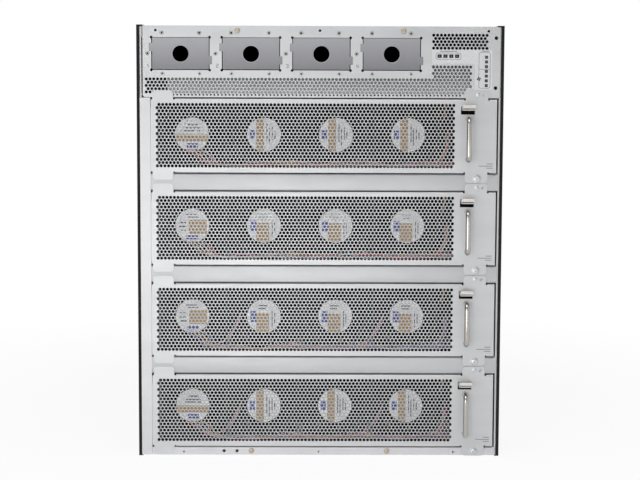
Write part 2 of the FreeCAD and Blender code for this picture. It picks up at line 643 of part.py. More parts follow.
CARD_LEFT = f"(window_margin - {INNER})"
CARD_RIGHT = f"({INNER} - window_margin)"
CARD_LOW = "(lip_gauge + base_gauge + window_margin)"
CARD_HIGH = f"({SHELF_Z} - window_margin)"
SUPPLY_LEFT = f"({PANEL_LEFT} + bay_margin + cage_gauge / 2)"
SUPPLY_RIGHT = f"({PANEL_RIGHT} - lamp_zone - cage_gauge / 2)"
SUPPLY_LOW = f"({CAGE_Z} + cage_gauge)"
SUPPLY_HIGH = f"({COVER_Z} - supply_gap)"


def front_frame():
    """Flat frame across the module face, with a slotted rack ear on each side."""
    body = new_body("front_frame")
    across = f"({SHELL} + side_pan + slot_inset)"
    upward = f"({BODY_HEIGHT} / 2 - slot_drop)"
    ear = f"({across} + slot_edge)"
    face = sketch_on(body, "XZ_Plane", "FrameOutline", f"-{SHELL_END}")
    rectangle(face, f"-{ear}", ear, "0", BODY_HEIGHT)
    rectangle(face, CARD_LEFT, CARD_RIGHT, CARD_LOW, CARD_HIGH)
    rectangle(face, SUPPLY_LEFT, SUPPLY_RIGHT, SUPPLY_LOW, SUPPLY_HIGH)
    pad(body, face, "ear_gauge", "Frame", back=True)
    holes = sketch_on(body, "XZ_Plane", "RackSlots")
    for side in (-1, 1):
        for rise in (-1, 0, 1):
            slot(holes, f"{side} * {across}", f"{BODY_HEIGHT} / 2 + {rise} * {upward}")
    cut_through(body, holes, "Slots")
    return body


def slot(sketch, x, z):
    """A level slot with round ends, centred on x and z."""
    run = "(slot_length / 2 - slot_radius)"
    edges = []
    for side, rise in ((1, 1), (-1, -1)):
        near = FreeCAD.Vector(10 * side, 5 * rise, 0)
        far = FreeCAD.Vector(-10 * side, 5 * rise, 0)
        edge = sketch.addGeometry(Part.LineSegment(near, far))
        hold(sketch, edge, 1, f"{x} + {side} * {run}", f"{z} + {rise} * slot_radius", near)
        hold(sketch, edge, 2, f"{x} - {side} * {run}", f"{z} + {rise} * slot_radius", far)
        edges.append(edge)
    over, under = edges
    for side, angle, start, end in ((1, -math.pi / 2, under, over), (-1, math.pi / 2, over, under)):
        ring = Part.Circle(FreeCAD.Vector(10 * side, 0, 0), FreeCAD.Vector(0, 0, 1), 5)
        bend = sketch.addGeometry(Part.ArcOfCircle(ring, angle, angle + math.pi))
        sketch.addConstraint(Sketcher.Constraint("Coincident", bend, 1, start, 2))
        sketch.addConstraint(Sketcher.Constraint("Coincident", bend, 2, end, 1))
        measure(sketch, "DistanceX", bend, 3, f"{x} + {side} * {run}", 10 * side)


def slot_covers():
    """Blank covers over the module slots, each folded back along its long edges."""
    body = new_body("slot_covers", several=True)
    pitch = f"(({CARD_HIGH} - {CARD_LOW}) / {SLOTS})"
    low = f"({CARD_LOW} + cover_gap)"
    high = f"({CARD_LOW} + {pitch} - cover_gap)"
    face = f"{SHELL_END} + frame_gauge"
    deep = f"{SHELL_END} - cover_return"
    section = sketch_on(body, "YZ_Plane", "SlotCoverSection", f"{CARD_LEFT} + cover_gap")
    outline(section, [
        (face, low), (face, high), (deep, high), (deep, f"{high} - frame_gauge"),
        (SHELL_END, f"{high} - frame_gauge"), (SHELL_END, f"{low} + frame_gauge"),
        (deep, f"{low} + frame_gauge"), (deep, low),
    ])
    first = pad(body, section, f"{CARD_RIGHT} - {CARD_LEFT} - 2 * cover_gap", "SlotCover")
    repeat(body, first, section, [("V_Axis", pitch, SLOTS)], "SlotCovers")
    return body


def supply_modules():
    """Power supply modules on the cage's floor, one behind each bay: a sleeve and its face."""
    body = new_body("supply_modules", several=True)
    face_y = "(body_depth - supply_face)"
    half = f"({BAY_PITCH} / 2 - cage_gauge / 2 - supply_gap)"
    sleeve = sketch_on(body, "XZ_Plane", "SleeveOutlines", f"-{face_y}")
    faces = sketch_on(body, "XZ_Plane", "FaceOutlines", f"-{face_y}")
    top = f"({SUPPLY_HIGH} - supply_gap)"
    for bay in range(BAYS):
        left = f"{bay_x(bay)} - {half}"
        right = f"{bay_x(bay)} + {half}"
        rectangle(faces, left, right, SUPPLY_LOW, top)
        rectangle(sleeve, left, right, SUPPLY_LOW, top)
        rectangle(sleeve, f"{left} + cage_gauge", f"{right} - cage_gauge",
                  f"{SUPPLY_LOW} + cage_gauge", f"{top} - cage_gauge")
    pad(body, sleeve, "supply_depth", "Sleeves")
    pad(body, faces, "supply_face", "Faces", back=True)
    return body


def tab_points(left, right, root, tip, sign):
    """Points of a mounting tab from left to right, with a relief notch at each side of its root."""
    shoulder = f"{tip} - ({sign}) * tab_corner"
    notch = f"{root} - ({sign}) * relief"
    return [
        (f"{left} - relief", root), (f"{left} - relief", notch), (left, notch),
        (left, shoulder), (f"{left} + tab_corner", tip),
        (f"{right} - tab_corner", tip), (right, shoulder),
        (right, notch), (f"{right} + relief", notch), (f"{right} + relief", root),
    ]


GRILLE_COLUMNS = 13
HOLE_PITCH = f"({FANS} * {FAN_PITCH} / {GRILLE_COLUMNS})"
HOLE_RADIUS = f"(({HOLE_PITCH} - web) * {1 / math.sqrt(3):.6f})"
HOLE_ROW = f"({HOLE_PITCH} * {math.sqrt(3) / 2:.6f})"
MID_Z = f"({TRAY_HEIGHT} / 2)"


def fan_tray():
    """Folded tray: grille face with four tabs, floor, side walls, upper lip, latch window."""
    body = new_body("fan_tray_1", z=f"{LOWEST_TRAY} + {TRAYS - 1} * {TRAY_PITCH}")
    tab = (f"({TRAY_LEFT} + tab_inset)", f"({TRAY_LEFT} + tab_inset + tab_width)")
    lug = (f"({TRAY_RIGHT} - lug_inset - lug_width)", f"({TRAY_RIGHT} - lug_inset)")
    below = tab_points(*tab, "0", "-tab_drop", -1)
    below += tab_points(*lug, "0", "-lug_drop", -1)
    above = tab_points(*tab, TRAY_HEIGHT, f"({TRAY_HEIGHT} + tab_drop)", 1)
    above += tab_points(*lug, TRAY_HEIGHT, f"({TRAY_HEIGHT} + lug_rise)", 1)
    corners = [(TRAY_LEFT, "0"), *below, (TRAY_RIGHT, "0")]
    corners += [(TRAY_RIGHT, TRAY_HEIGHT), *reversed(above), (TRAY_LEFT, TRAY_HEIGHT)]
    face = sketch_on(body, "XZ_Plane", "FaceOutline")
    outline(face, corners)
    pad(body, face, "tray_gauge", "Face", back=True)
    pan = sketch_on(body, "XZ_Plane", "PanSection")
    floor_top = "(floor_lift + tray_gauge)"
    rim = f"({floor_top} + tray_wall_height)"
    outline(pan, [
        (TRAY_LEFT, "floor_lift"), (TRAY_RIGHT, "floor_lift"), (TRAY_RIGHT, rim),
        (f"{TRAY_RIGHT} - tray_gauge", rim), (f"{TRAY_RIGHT} - tray_gauge", floor_top),
        (f"{TRAY_LEFT} + tray_gauge", floor_top), (f"{TRAY_LEFT} + tray_gauge", rim), (TRAY_LEFT, rim),
    ])
    pad(body, pan, "tray_depth", "Pan", back=True)
    lip = sketch_on(body, "XZ_Plane", "LipSection")
    rectangle(lip, TRAY_LEFT, TRAY_RIGHT, f"{TRAY_HEIGHT} - tray_gauge", TRAY_HEIGHT)
    pad(body, lip, "tray_lip", "Lip", back=True)
    window = sketch_on(body, "XZ_Plane", "LatchWindow")
    top = f"({TRAY_HEIGHT} - window_drop)"
    rectangle(window, f"{GRIP_X} - window_width / 2", f"{GRIP_X} + window_width / 2",
              f"{top} - window_height", top)
    cut_through(body, window, "Window")
    start = f"({TRAY_LEFT} + grille_margin + ({HOLE_PITCH} - web) / 2)"
    outer = sketch_on(body, "XZ_Plane", "OuterHole")
    regular(outer, 6, start, f"{MID_Z} - {HOLE_ROW}", HOLE_RADIUS, 30)
    first = cut_through(body, outer, "OuterHoleCut")
    steps = [("H_Axis", HOLE_PITCH, GRILLE_COLUMNS), ("V_Axis", f"2 * {HOLE_ROW}", 2)]
    repeat(body, first, outer, steps, "OuterRows")
    inner = sketch_on(body, "XZ_Plane", "InnerHole")
    regular(inner, 6, f"{start} + {HOLE_PITCH} / 2", MID_Z, HOLE_RADIUS, 30)
    first = cut_through(body, inner, "InnerHoleCut")
    repeat(body, first, inner, [("H_Axis", HOLE_PITCH, GRILLE_COLUMNS)], "InnerRow")
    return body


def fan_frame():
    """A fan's moulded frame: square with a round bore, struts and the motor base."""
    body = new_body("fan_frame")
    half = "(fan_size / 2)"
    frame = sketch_on(body, "XZ_Plane", "FrameOutline", "-fan_setback")
    rectangle(frame, f"-{half}", half, f"-{half}", half)
    regular(frame, BORE_SIDES, "0", "0", BORE, 180 / BORE_SIDES)
    pad(body, frame, "fan_depth", "Frame", back=True)
    struts = sketch_on(body, "XZ_Plane", "StrutOutline", "-fan_setback")
    reach = "((fan_size - fan_wall) / 2)"
    rectangle(struts, f"-{reach}", reach, "-strut_width / 2", "strut_width / 2")
    pad(body, struts, "strut_depth", "LevelStrut", back=True)
    upright = sketch_on(body, "XZ_Plane", "UprightOutline", "-fan_setback")
    rectangle(upright, "-strut_width / 2", "strut_width / 2", f"-{reach}", reach)
    pad(body, upright, "strut_depth", "UprightStrut", back=True)
    base = sketch_on(body, "XZ_Plane", "MotorOutline", "-fan_setback")
    regular(base, BORE_SIDES, "0", "0", "motor_radius", 180 / BORE_SIDES)
    pad(body, base, "motor_depth", "MotorBase", back=True)
    return body


def impeller():
    """The fan's rotor: a hub with pitched blades, set behind the motor base."""
    body = new_body("impeller")
    start = "(fan_setback + motor_depth + spin_gap)"
    hub = sketch_on(body, "XZ_Plane", "HubOutline", f"-{start}")
    regular(hub, HUB_SIDES, "0", "0", "hub_radius")
    pad(body, hub, "hub_depth", "Hub", back=True)
    root = "(hub_radius * 0.9)"
    blade = sketch_on(body, "XY_Plane", "BladeSection", root)
    near = f"({start} + (hub_depth - blade_span) / 2)"
    far = f"({near} + blade_span)"
    outline(blade, [
        ("-blade_chord / 2", near), ("-blade_chord / 2 + blade_gauge", near),
        ("blade_chord / 2", far), ("blade_chord / 2 - blade_gauge", far),
    ])
    tip = "sqrt((fan_size / 2 - fan_wall - tip_gap)^2 - (blade_chord / 2)^2)"
    first = pad(body, blade, f"{tip} - {root}", "Blade")
    ring = body.newObject("PartDesign::PolarPattern", "Blades")
    ring.Originals = [first]
    ring.Axis = (hub, ["N_Axis"])
    ring.Angle = 360
    ring.Occurrences = BLADES
    body.Tip = ring
    return body


def pull_handle():
    """Bent rod that stands on the tray face: two legs, two bends and a grip."""
    body = new_body("pull_handle_1", z=f"{LOWEST_TRAY} + {TRAYS - 1} * {TRAY_PITCH}")
    path = sketch_on(body, "YZ_Plane", "HandlePath", GRIP_X)
    high = "(grip_low + grip_span)"
    centre = "(rod_radius - handle_reach + rod_bend)"
    stops = [("0", "grip_low")]
    for middle, first in (("grip_low + rod_bend", 270), (f"{high} - rod_bend", 180)):
        for step in range(BEND_STEPS + 1):
            angle = math.radians(first - 90 * step / BEND_STEPS)
            stops.append((f"{centre} + rod_bend * {math.cos(angle):.6f}",
                          f"{middle} + rod_bend * {math.sin(angle):.6f}"))
    stops.append(("0", high))
    open_line(path, stops)
    rod = sketch_on(body, "XZ_Plane", "RodSection")
    regular(rod, ROD_SIDES, GRIP_X, "grip_low", "rod_radius", 180 / ROD_SIDES)
    pipe = body.newObject("PartDesign::AdditivePipe", "Rod")
    pipe.Profile = rod
    pipe.Spine = (path, [f"Edge{k}" for k in range(1, len(stops))])
    pipe.Transition = "Right corner"
    body.Tip = pipe
    return body


def release_latch():
    """Folded thumb tongue through the tray's window, with its catch plate behind the face."""
    body = new_body("release_latch_1", z=f"{LOWEST_TRAY} + {TRAYS - 1} * {TRAY_PITCH}")
    section = sketch_on(body, "YZ_Plane", "LatchSection", GRIP_X)
    top = f"({TRAY_HEIGHT} - window_drop - latch_play)"
    low = f"({top} - latch_height)"
    fold = f"({low} + latch_height / 2)"
    back = f"({FRAME_Y} + return_depth + catch_clear)"
    outline(section, [
        ("-latch_reach", low), (back, low), (back, f"{low} - catch_drop"), (f"{back} + catch_gauge", f"{low} - catch_drop"),
        (f"{back} + catch_gauge", f"{TRAY_HEIGHT} + seam - catch_gap"),
        (back, f"{TRAY_HEIGHT} + seam - catch_gap"), (back, top),
        ("latch_lip_depth - latch_reach", top),
        ("latch_lip_depth - latch_reach", f"{top} + latch_lip"),
        ("-latch_reach", f"{top} + latch_lip"), ("-latch_reach", f"{fold} + fold_gap / 2"),
        ("fold_depth - latch_reach", f"{fold} + fold_gap / 2"),
        ("fold_depth - latch_reach", f"{fold} - fold_gap / 2"),
        ("-latch_reach", f"{fold} - fold_gap / 2"),
    ])
    pad(body, section, "latch_width", "Latch", middle=True)
    return body


def tray_screws():
    """Captive screw head on the lower right tab and the locating stud on the upper one."""
    body = new_body("tray_screws_1", z=f"{LOWEST_TRAY} + {TRAYS - 1} * {TRAY_PITCH}", several=True)
    x = f"({TRAY_RIGHT} - screw_inset)"
    head = sketch_on(body, "XZ_Plane", "Heads")
    regular(head, HEAD_SIDES, x, "-screw_drop", "screw_radius")
    pad(body, head, "screw_height", "Screw")
    stud = sketch_on(body, "XZ_Plane", "Stud")
    regular(stud, HEAD_SIDES, x, f"{TRAY_HEIGHT} + stud_rise", "stud_radius")
    pad(body, stud, "tray_gauge", "StudHead")
    return body


def fan_board():
    """Tray's circuit board on the floor behind the fans, with its blind-mate plug."""
    body = new_body("fan_board_1", z=f"{LOWEST_TRAY} + {TRAYS - 1} * {TRAY_PITCH}")
    floor_top = "(floor_lift + tray_gauge)"
    face = "(tray_depth - board_back)"
    middle = f"({fan_x(1)} + {FAN_PITCH} / 2)"
    board = sketch_on(body, "XZ_Plane", "BoardOutline", f"-{face}")
    rectangle(board, f"{middle} - board_width / 2", f"{middle} + board_width / 2",
              floor_top, f"{floor_top} + board_height")
    pad(body, board, "board_gauge", "Board", back=True)
    plug = sketch_on(body, "XZ_Plane", "PlugOutline", f"-({face} + board_gauge)")
    rectangle(plug, f"{middle} - plug_width / 2", f"{middle} + plug_width / 2",
              f"{MID_Z} - plug_height / 2", f"{MID_Z} + plug_height / 2")
    pad(body, plug, "plug_depth", "Plug", back=True)
    return body


def fan_leads():
    """Bundle of fan leads: along the floor behind the grille, then back between two fans."""
    body = new_body("fan_leads_1", z=f"{LOWEST_TRAY} + {TRAYS - 1} * {TRAY_PITCH}")
    turn = f"({fan_x(1)} + {FAN_PITCH} / 2)"
    low = "(floor_lift + tray_gauge)"
    run = sketch_on(body, "XY_Plane", "LeadRun", low)
    outline(run, [
        (fan_x(0), "lead_setback - lead_radius"), (f"{turn} + lead_radius", "lead_setback - lead_radius"),
        (f"{turn} + lead_radius", "tray_depth - board_back"),
        (f"{turn} - lead_radius", "tray_depth - board_back"),
        (f"{turn} - lead_radius", "lead_setback + lead_radius"),
        (fan_x(0), "lead_setback + lead_radius"),
    ])
    pad(body, run, "2 * lead_radius", "Leads")
    return body


def tray_z(tray):
    """Lower edge of a tray's face; tray 1 is the highest."""
    return f"({LOWEST_TRAY} + {TRAYS - tray} * {TRAY_PITCH})"


def fan_set(tray, frame, rotor):
    """Four fan frames in one node and an impeller node for each."""
    frames = []
    for fan in range(FANS):
        spot = {"x": fan_x(fan), "y": FACE_Y, "z": f"{tray_z(tray)} + {MID_Z}"}
        frames.append(clone(frame, f"frame_{tray}_{fan + 1}", **spot))
        name = f"rotor_{tray}_{fan + 1}"
        NODES[name] = clone(rotor, name, **spot)
    group = doc.addObject("Part::Compound", f"fan_frames_{tray}")
    group.Label = f"fan_frames_{tray}"
    group.Links = frames
    NODES[group.Label] = group


for maker in (chassis_shell, top_cover, crossmembers, upper_panel, power_bay_plates, power_cage,
              status_lamps, panel_screws, midplane, tray_guides, mid_shelf, front_frame,
              slot_covers, supply_modules):
    NODES[maker.__name__] = maker()
NODES["side_panel_left"] = side_panel("side_panel_left", -1)
NODES["side_panel_right"] = side_panel("side_panel_right", 1)
for maker in (fan_tray, pull_handle, release_latch, tray_screws, fan_board, fan_leads):
    master = maker()
    NODES[master.Label] = master
    for tray in range(2, TRAYS + 1):
        name = f"{maker.__name__}_{tray}"
        NODES[name] = clone(master, name, y=FACE_Y, z=tray_z(tray))
one_frame = fan_frame()
one_rotor = impeller()
for tray in range(1, TRAYS + 1):
    fan_set(tray, one_frame, one_rotor)
doc.recompute()

for thing in doc.Objects:
    if "Invalid" in thing.State or "Error" in thing.State:
        raise RuntimeError(f"{thing.Label} is {thing.State}")
for name, thing in NODES.items():
    if thing.Shape.isNull() or not thing.Shape.isValid() or not thing.Shape.Solids:
        raise RuntimeError(f"{name} has no valid solid")

os.makedirs("parts", exist_ok=True)
for name, thing in NODES.items():
    thing.Shape.exportStep(f"parts/{name}.step")
print(f"{len(NODES)} nodes, {sum(len(thing.Shape.Solids) for thing in NODES.values())} solids")
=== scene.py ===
import math

import bpy
import numpy as np
from mathutils import Matrix, Vector
from mathutils.geometry import delaunay_2d_cdt


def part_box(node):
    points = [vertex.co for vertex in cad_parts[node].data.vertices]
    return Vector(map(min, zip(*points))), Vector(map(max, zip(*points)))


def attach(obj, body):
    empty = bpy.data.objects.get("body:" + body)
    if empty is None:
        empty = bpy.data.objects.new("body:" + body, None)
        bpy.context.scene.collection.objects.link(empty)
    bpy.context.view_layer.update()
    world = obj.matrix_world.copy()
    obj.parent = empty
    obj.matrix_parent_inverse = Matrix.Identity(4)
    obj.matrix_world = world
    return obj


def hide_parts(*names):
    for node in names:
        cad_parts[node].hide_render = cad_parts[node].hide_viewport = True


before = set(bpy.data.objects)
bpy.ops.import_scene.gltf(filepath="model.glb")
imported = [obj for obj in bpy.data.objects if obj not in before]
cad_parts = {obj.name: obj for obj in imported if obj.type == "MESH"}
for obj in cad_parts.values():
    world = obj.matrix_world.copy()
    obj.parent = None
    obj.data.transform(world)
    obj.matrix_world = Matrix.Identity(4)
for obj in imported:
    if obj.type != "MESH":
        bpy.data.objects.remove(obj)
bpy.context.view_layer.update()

# Shapes are worked out in millimetres, in the row frame: +X right, +Z up, -Y towards the camera.
MM = 0.001
TRAYS = (1, 2, 3, 4)


def box_mm(node):
    """A node's lowest and highest corner in millimetres."""
    low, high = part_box(node)
    return np.array(low) / MM, np.array(high) / MM


# Sheet metal: the gauges of tray and frame, a fold's outer radius, and the relief notches beside
# a tab's root with their width, their height below and above, and their round.
TRAY_GAUGE, FRAME_GAUGE = 1.2, 1.5
BEND = 2.0
RELIEF, NOTCH, TOP_NOTCH, NOTCH_ROUND = 1.9, 1.2, 0.8, 0.7

# A fan tray, from its own left and lower edges.
TRAY_HEIGHT, TRAY_TOP, TRAY_DEPTH = 89.1, 88.1, 122.0
FACE_EDGE, FACE_FOOT = 0.4, 0.1
TAB_LEFT, TAB_RIGHT, TAB_RISE, TAB_DROP = 2.2, 27.0, 8.8, 8.8
LUG_INSET, LUG_WIDTH, LUG_RISE, LUG_DROP = 10.45, 26.9, 9.4, 11.4
TAB_ROUND = 4.0
HOLE_PITCH, HOLE_RADIUS = 4.45, 1.93
HOLE_ROWS, HOLE_COLUMNS = 20, 80
GRILLE_LEFT, GRILLE_DROP = 8.0, 8.1
ROW_PITCH = HOLE_PITCH * math.sqrt(3) / 2
FLOOR_LIFT, WALL_RISE, LIP_DEPTH = 3.35, 72.0, 12.0
FLOOR_TOP = FLOOR_LIFT + TRAY_GAUGE

# Its handle, latch window, latch and screws.
GRIP_INSET, GRIP_LOW, GRIP_SPAN, GRIP_REACH = 34.6, 16.2, 48.4, 22.0
ROD_RADIUS, ROD_BEND = 3.0, 6.0
WINDOW_HALF, WINDOW_LOW, WINDOW_HIGH = 8.3, 70.2, 79.7
LATCH_HALF, LATCH_BACK, LATCH_REACH = 7.5, 16.6, 17.0
CATCH_LOW, CATCH_HIGH = 57.3, 88.8
SCREW_INSET = 22.9

# Its fans.
FAN_SIZE, FAN_PITCH, FAN_MARGIN = 80.0, 87.2, 3.9
FAN_FRONT, FAN_DEPTH, FAN_BORE = 27.0, 38.0, 38.35
MOTOR_RADIUS, HUB_RADIUS = 20.85, 19.5
BLADE_ROOT, BLADE_TIP, BLADES = 18.8, 36.6, 7

# Rails and upper panel.
SLOT_GAP, RAIL_DEPTH = 1.1, 14.0
BAY_MARGIN, LAMP_ZONE = 3.9, 87.3
INK_DEPTH = 0.05

tray_low, tray_high = box_mm("fan_tray_1")
LEFT, RIGHT = tray_low[0], tray_high[0]
FACE = tray_low[1]
TRAY_BASE = {tray: box_mm(f"fan_tray_{tray}")[0][2] + LUG_DROP for tray in TRAYS}
GRIP_X, SCREW_X = RIGHT - GRIP_INSET, RIGHT - SCREW_INSET
DIMPLE = (SCREW_X + 7.0, TRAY_HEIGHT + 4.6)
FAN_X = [LEFT + FAN_MARGIN + FAN_PITCH * (k + 0.5) for k in range(4)]
MID_Z = TRAY_HEIGHT / 2
panel_low, panel_high = box_mm("upper_panel")
FRAME_Y = panel_low[1]
RAIL_RIGHT = RIGHT + 2.2
PANEL_LEFT, PANEL_RIGHT = panel_low[0], panel_high[0]
PANEL_FOOT, PANEL_TOP = panel_low[2] - 0.5, panel_high[2]
BAY_PITCH = (PANEL_RIGHT - PANEL_LEFT - BAY_MARGIN - LAMP_ZONE) / 4
BAY_X = [PANEL_LEFT + BAY_MARGIN + BAY_PITCH * (k + 0.5) for k in range(4)]
BAY_Z = PANEL_TOP - 33.2
BAY_WIDE, BAY_HIGH, BAY_TAB_SHIFT = BAY_PITCH - 14.4, 38.8, 7.6


# Shapes: a shape is its points, an n by 3 array, and a list of face arrays.


def join(shapes):
    """One shape from several: points in a row, each shape's faces moved up by the points before it."""
    points, faces, base = [], [], 0
    for some_points, some_faces in shapes:
        points.append(some_points)
        faces += [array + base for array in some_faces]
        base += len(some_points)
    return np.concatenate(points), faces


def moved(shape, x=0.0, y=0.0, z=0.0):
    """The same shape, each point shifted by x, y and z."""
    return shape[0] + (x, y, z), shape[1]


def circle(x, z, radius, sides=24, start=0.0):
    """Loops round each centre: (x, z) plus radius times (cos t, sin t), with t in equal steps."""
    t = math.radians(start) + np.arange(sides) * 2 * np.pi / sides
    ring = np.stack([np.cos(t), np.sin(t)], -1) * radius
    return np.stack(np.broadcast_arrays(np.atleast_1d(x), np.atleast_1d(z)), -1)[:, None, :] + ring


def rectangle(x0, x1, z0, z1):
    """The four corners of a rectangle."""
    return np.array([[x0, z0], [x1, z0], [x1, z1], [x0, z1]], float)


def rectangle_at(x, z, wide, high):
    """The four corners of a rectangle round the centre x and z."""
    return rectangle(x - wide / 2, x + wide / 2, z - high / 2, z + high / 2)


def spun(points, degrees):
    """Flat points turned about the origin: x becomes x cos - z sin, and z becomes x sin + z cos."""
    cos, sin = math.cos(math.radians(degrees)), math.sin(math.radians(degrees))
    return np.asarray(points) @ np.array([[cos, sin], [-sin, cos]])


def rounded(corners, radii, steps=5):
    """A closed loop with each corner turned into an arc that is tangent to both of its edges."""
    corners = np.asarray(corners, float)
    radii = np.broadcast_to(radii, len(corners))
    before, after = np.roll(corners, 1, 0), np.roll(corners, -1, 0)
    out = []
    for corner, back, ahead, radius in zip(corners, before, after, radii):
        if radius <= 0:
            out.append(corner[None])
            continue
        to_back = (back - corner) / np.linalg.norm(back - corner)
        to_ahead = (ahead - corner) / np.linalg.norm(ahead - corner)
        half = math.acos(np.clip(to_back @ to_ahead, -1, 1)) / 2
        inwards = (to_back + to_ahead) / np.linalg.norm(to_back + to_ahead)
        middle = corner + inwards * radius / math.sin(half)
        first = corner + to_back * radius / math.tan(half) - middle
        last = corner + to_ahead * radius / math.tan(half) - middle
        sweep = math.atan2(first[0] * last[1] - first[1] * last[0], first @ last)
        turn = np.linspace(0, sweep, steps + 1)
        cos, sin = np.cos(turn), np.sin(turn)
        arc = [first[0] * cos - first[1] * sin, first[0] * sin + first[1] * cos]
        out.append(middle + np.stack(arc, -1))
    return np.concatenate(out)


def wound(loop, counterclockwise):
    """The loop in the wanted sense, from the sign of its area."""
    x, z = loop[:, 0], loop[:, 1]
    area = np.sum(x * np.roll(z, -1) - np.roll(x, -1) * z)
    return loop if (area > 0) == counterclockwise else loop[::-1]


def clipped(loop, axis, limit, keep_above):
    """The part of a convex loop on one side of a straight line, x or z equal to limit."""
    sign = 1 if keep_above else -1
    out = []
    for here, there in zip(loop, np.roll(loop, -1, 0)):
        a, b = sign * (here[axis] - limit), sign * (there[axis] - limit)
        if a >= 0:
            out.append(here)
        if a * b < 0:
            out.append(here + (there - here) * a / (a - b))
    return np.array(out)


def flat_sheet(outline, holes, front, gauge):
    """A sheet in the X-Z plane: the area between the outline and the holes, filled at front and
    at front + gauge, with a wall along every loop. The outline runs counterclockwise and the holes
    clockwise, so a filled triangle with all its corners on one loop belongs to the sheet where
    they turn counterclockwise in the loop's order."""
    loops = [wound(np.asarray(outline, float), True)]
    loops += [wound(np.asarray(hole, float), False) for hole in holes]
    flat = np.concatenate(loops)
    count = len(flat)
    index = np.arange(count)
    lengths = np.array([len(loop) for loop in loops])
    ends = np.cumsum(lengths)
    after = index + 1
    after[ends - 1] = ends - lengths
    owner = np.repeat(np.arange(len(loops)), lengths)
    edges = np.stack([index, after], -1)
    filled = delaunay_2d_cdt([Vector(point) for point in flat], edges.tolist(), [], 0, 1e-7, False)
    if len(filled[0]) != count:
        raise ValueError(f"the sheet's loops cross: {len(filled[0])} points from {count}")
    cells = np.sort(np.array(filled[2]), 1)
    a, b, c = flat[cells[:, 0]], flat[cells[:, 1]], flat[cells[:, 2]]
    turn = (b[:, 0] - a[:, 0]) * (c[:, 1] - a[:, 1]) - (b[:, 1] - a[:, 1]) * (c[:, 0] - a[:, 0])
    alone = (owner[cells[:, 0]] == owner[cells[:, 1]]) & (owner[cells[:, 1]] == owner[cells[:, 2]])
    cells[turn < 0] = cells[turn < 0][:, ::-1]
    cells = cells[~alone | (turn > 0)]
    points = np.zeros((2 * count, 3))
    points[:, [0, 2]] = np.tile(flat, (2, 1))
    points[:, 1] = np.repeat([front, front + gauge], count)
    walls = np.stack([index, index + count, after + count, after], -1)
    return points, [cells, cells[:, ::-1] + count, walls]


def carried(profile, axes, low, high):
    """A closed profile carried straight from low to high: axes names where its two numbers and
    the length go, in right-handed order. Both ends are closed."""
    profile = wound(np.asarray(profile, float), True)
    count = len(profile)
    index = np.arange(count)
    after = np.roll(index, -1)
    points = np.zeros((2 * count, 3))
    points[:, axes[:2]] = np.tile(profile, (2, 1))
    points[:, axes[2]] = np.repeat([low, high], count)
    sides = np.stack([index, after, after + count, index + count], -1)
    return points, [sides, index[None, ::-1], index[None] + count]


def along_x(profile, x0, x1):
    """A closed (y, z) profile carried along X."""
    return carried(profile, [1, 2, 0], x0, x1)


def upright(profile, z0, z1):
    """A closed (x, y) profile carried upwards."""
    return carried(profile, [0, 1, 2], z0, z1)


def block(x0, x1, y0, y1, z0, z1):
    """A box with square edges."""
    return upright(rectangle(x0, x1, y0, y1), z0, z1)


def box_at(x, z, wide, high, front, back):
    """A box with square edges, wide and high round the centre x and z, from front to back."""
    return block(x - wide / 2, x + wide / 2, front, back, z - high / 2, z + high / 2)


def bar(x0, x1, z0, z1, plane):
    """A printed bar on the plane y = plane."""
    return block(x0, x1, plane - INK_DEPTH, plane, z0, z1)


def plate(outline, front, gauge):
    """A thin convex or plain plate in the X-Z plane, without holes."""
    return flat_sheet(outline, [], front, gauge)


def bands(rings, sides, closed=False):
    """Faces between neighbouring rings of points, and with closed from the last to the first too."""
    ring = np.arange(sides)
    after = np.roll(ring, -1)
    level = np.arange(rings if closed else rings - 1)[:, None] * sides
    above = (level + sides) % (rings * sides)
    return np.stack([level + ring, level + after, above + after, above + ring], -1).reshape(-1, 4)


def turned(profile, centres, front, sides=24, back=False, closed=False):
    """A (radius, height) profile turned about an axis along Y at each (x, z) centre. A height
    stands out of the plane y = front towards -Y, or towards +Y with back. The profile's ends are
    capped, or with closed joined to each other as a ring."""
    profile = np.asarray(profile, float)
    centres = np.atleast_2d(centres)
    t = np.arange(sides) * 2 * np.pi / sides
    if back:
        t = -t
    spin = np.stack([np.cos(t), np.zeros(sides), np.sin(t)], -1)
    one = profile[:, None, :1] * spin + np.array([0, 1 if back else -1, 0]) * profile[:, None, 1:]
    one = one.reshape(-1, 3) + (0, front, 0)
    places = np.stack([centres[:, 0], np.zeros(len(centres)), centres[:, 1]], -1)
    points = (places[:, None, :] + one).reshape(-1, 3)
    base = np.arange(len(centres))[:, None, None] * len(one)
    faces = [(bands(len(profile), sides, closed) + base).reshape(-1, 4)]
    if not closed:
        ring = np.arange(sides)
        faces.append((ring[::-1] + base).reshape(-1, sides))
        faces.append((ring + len(one) - sides + base).reshape(-1, sides))
    return points, faces


def rod(path, radius, side=(1.0, 0.0, 0.0), sides=20):
    """A round rod: at each point of the path a circle square to its direction, closed at both ends.
    side is a direction that the path never takes."""
    path = np.asarray(path, float)
    ahead = np.gradient(path, axis=0)
    ahead /= np.linalg.norm(ahead, axis=1)[:, None]
    across = np.cross(ahead, side)
    across /= np.linalg.norm(across, axis=1)[:, None]
    up = np.cross(ahead, across)
    t = np.arange(sides) * 2 * np.pi / sides
    rings = np.cos(t)[None, :, None] * across[:, None] + np.sin(t)[None, :, None] * up[:, None]
    points = (path[:, None] + radius * rings).reshape(-1, 3)
    ring = np.arange(sides)
    return points, [bands(len(path), sides), ring[None, ::-1], ring[None] + len(points) - sides]


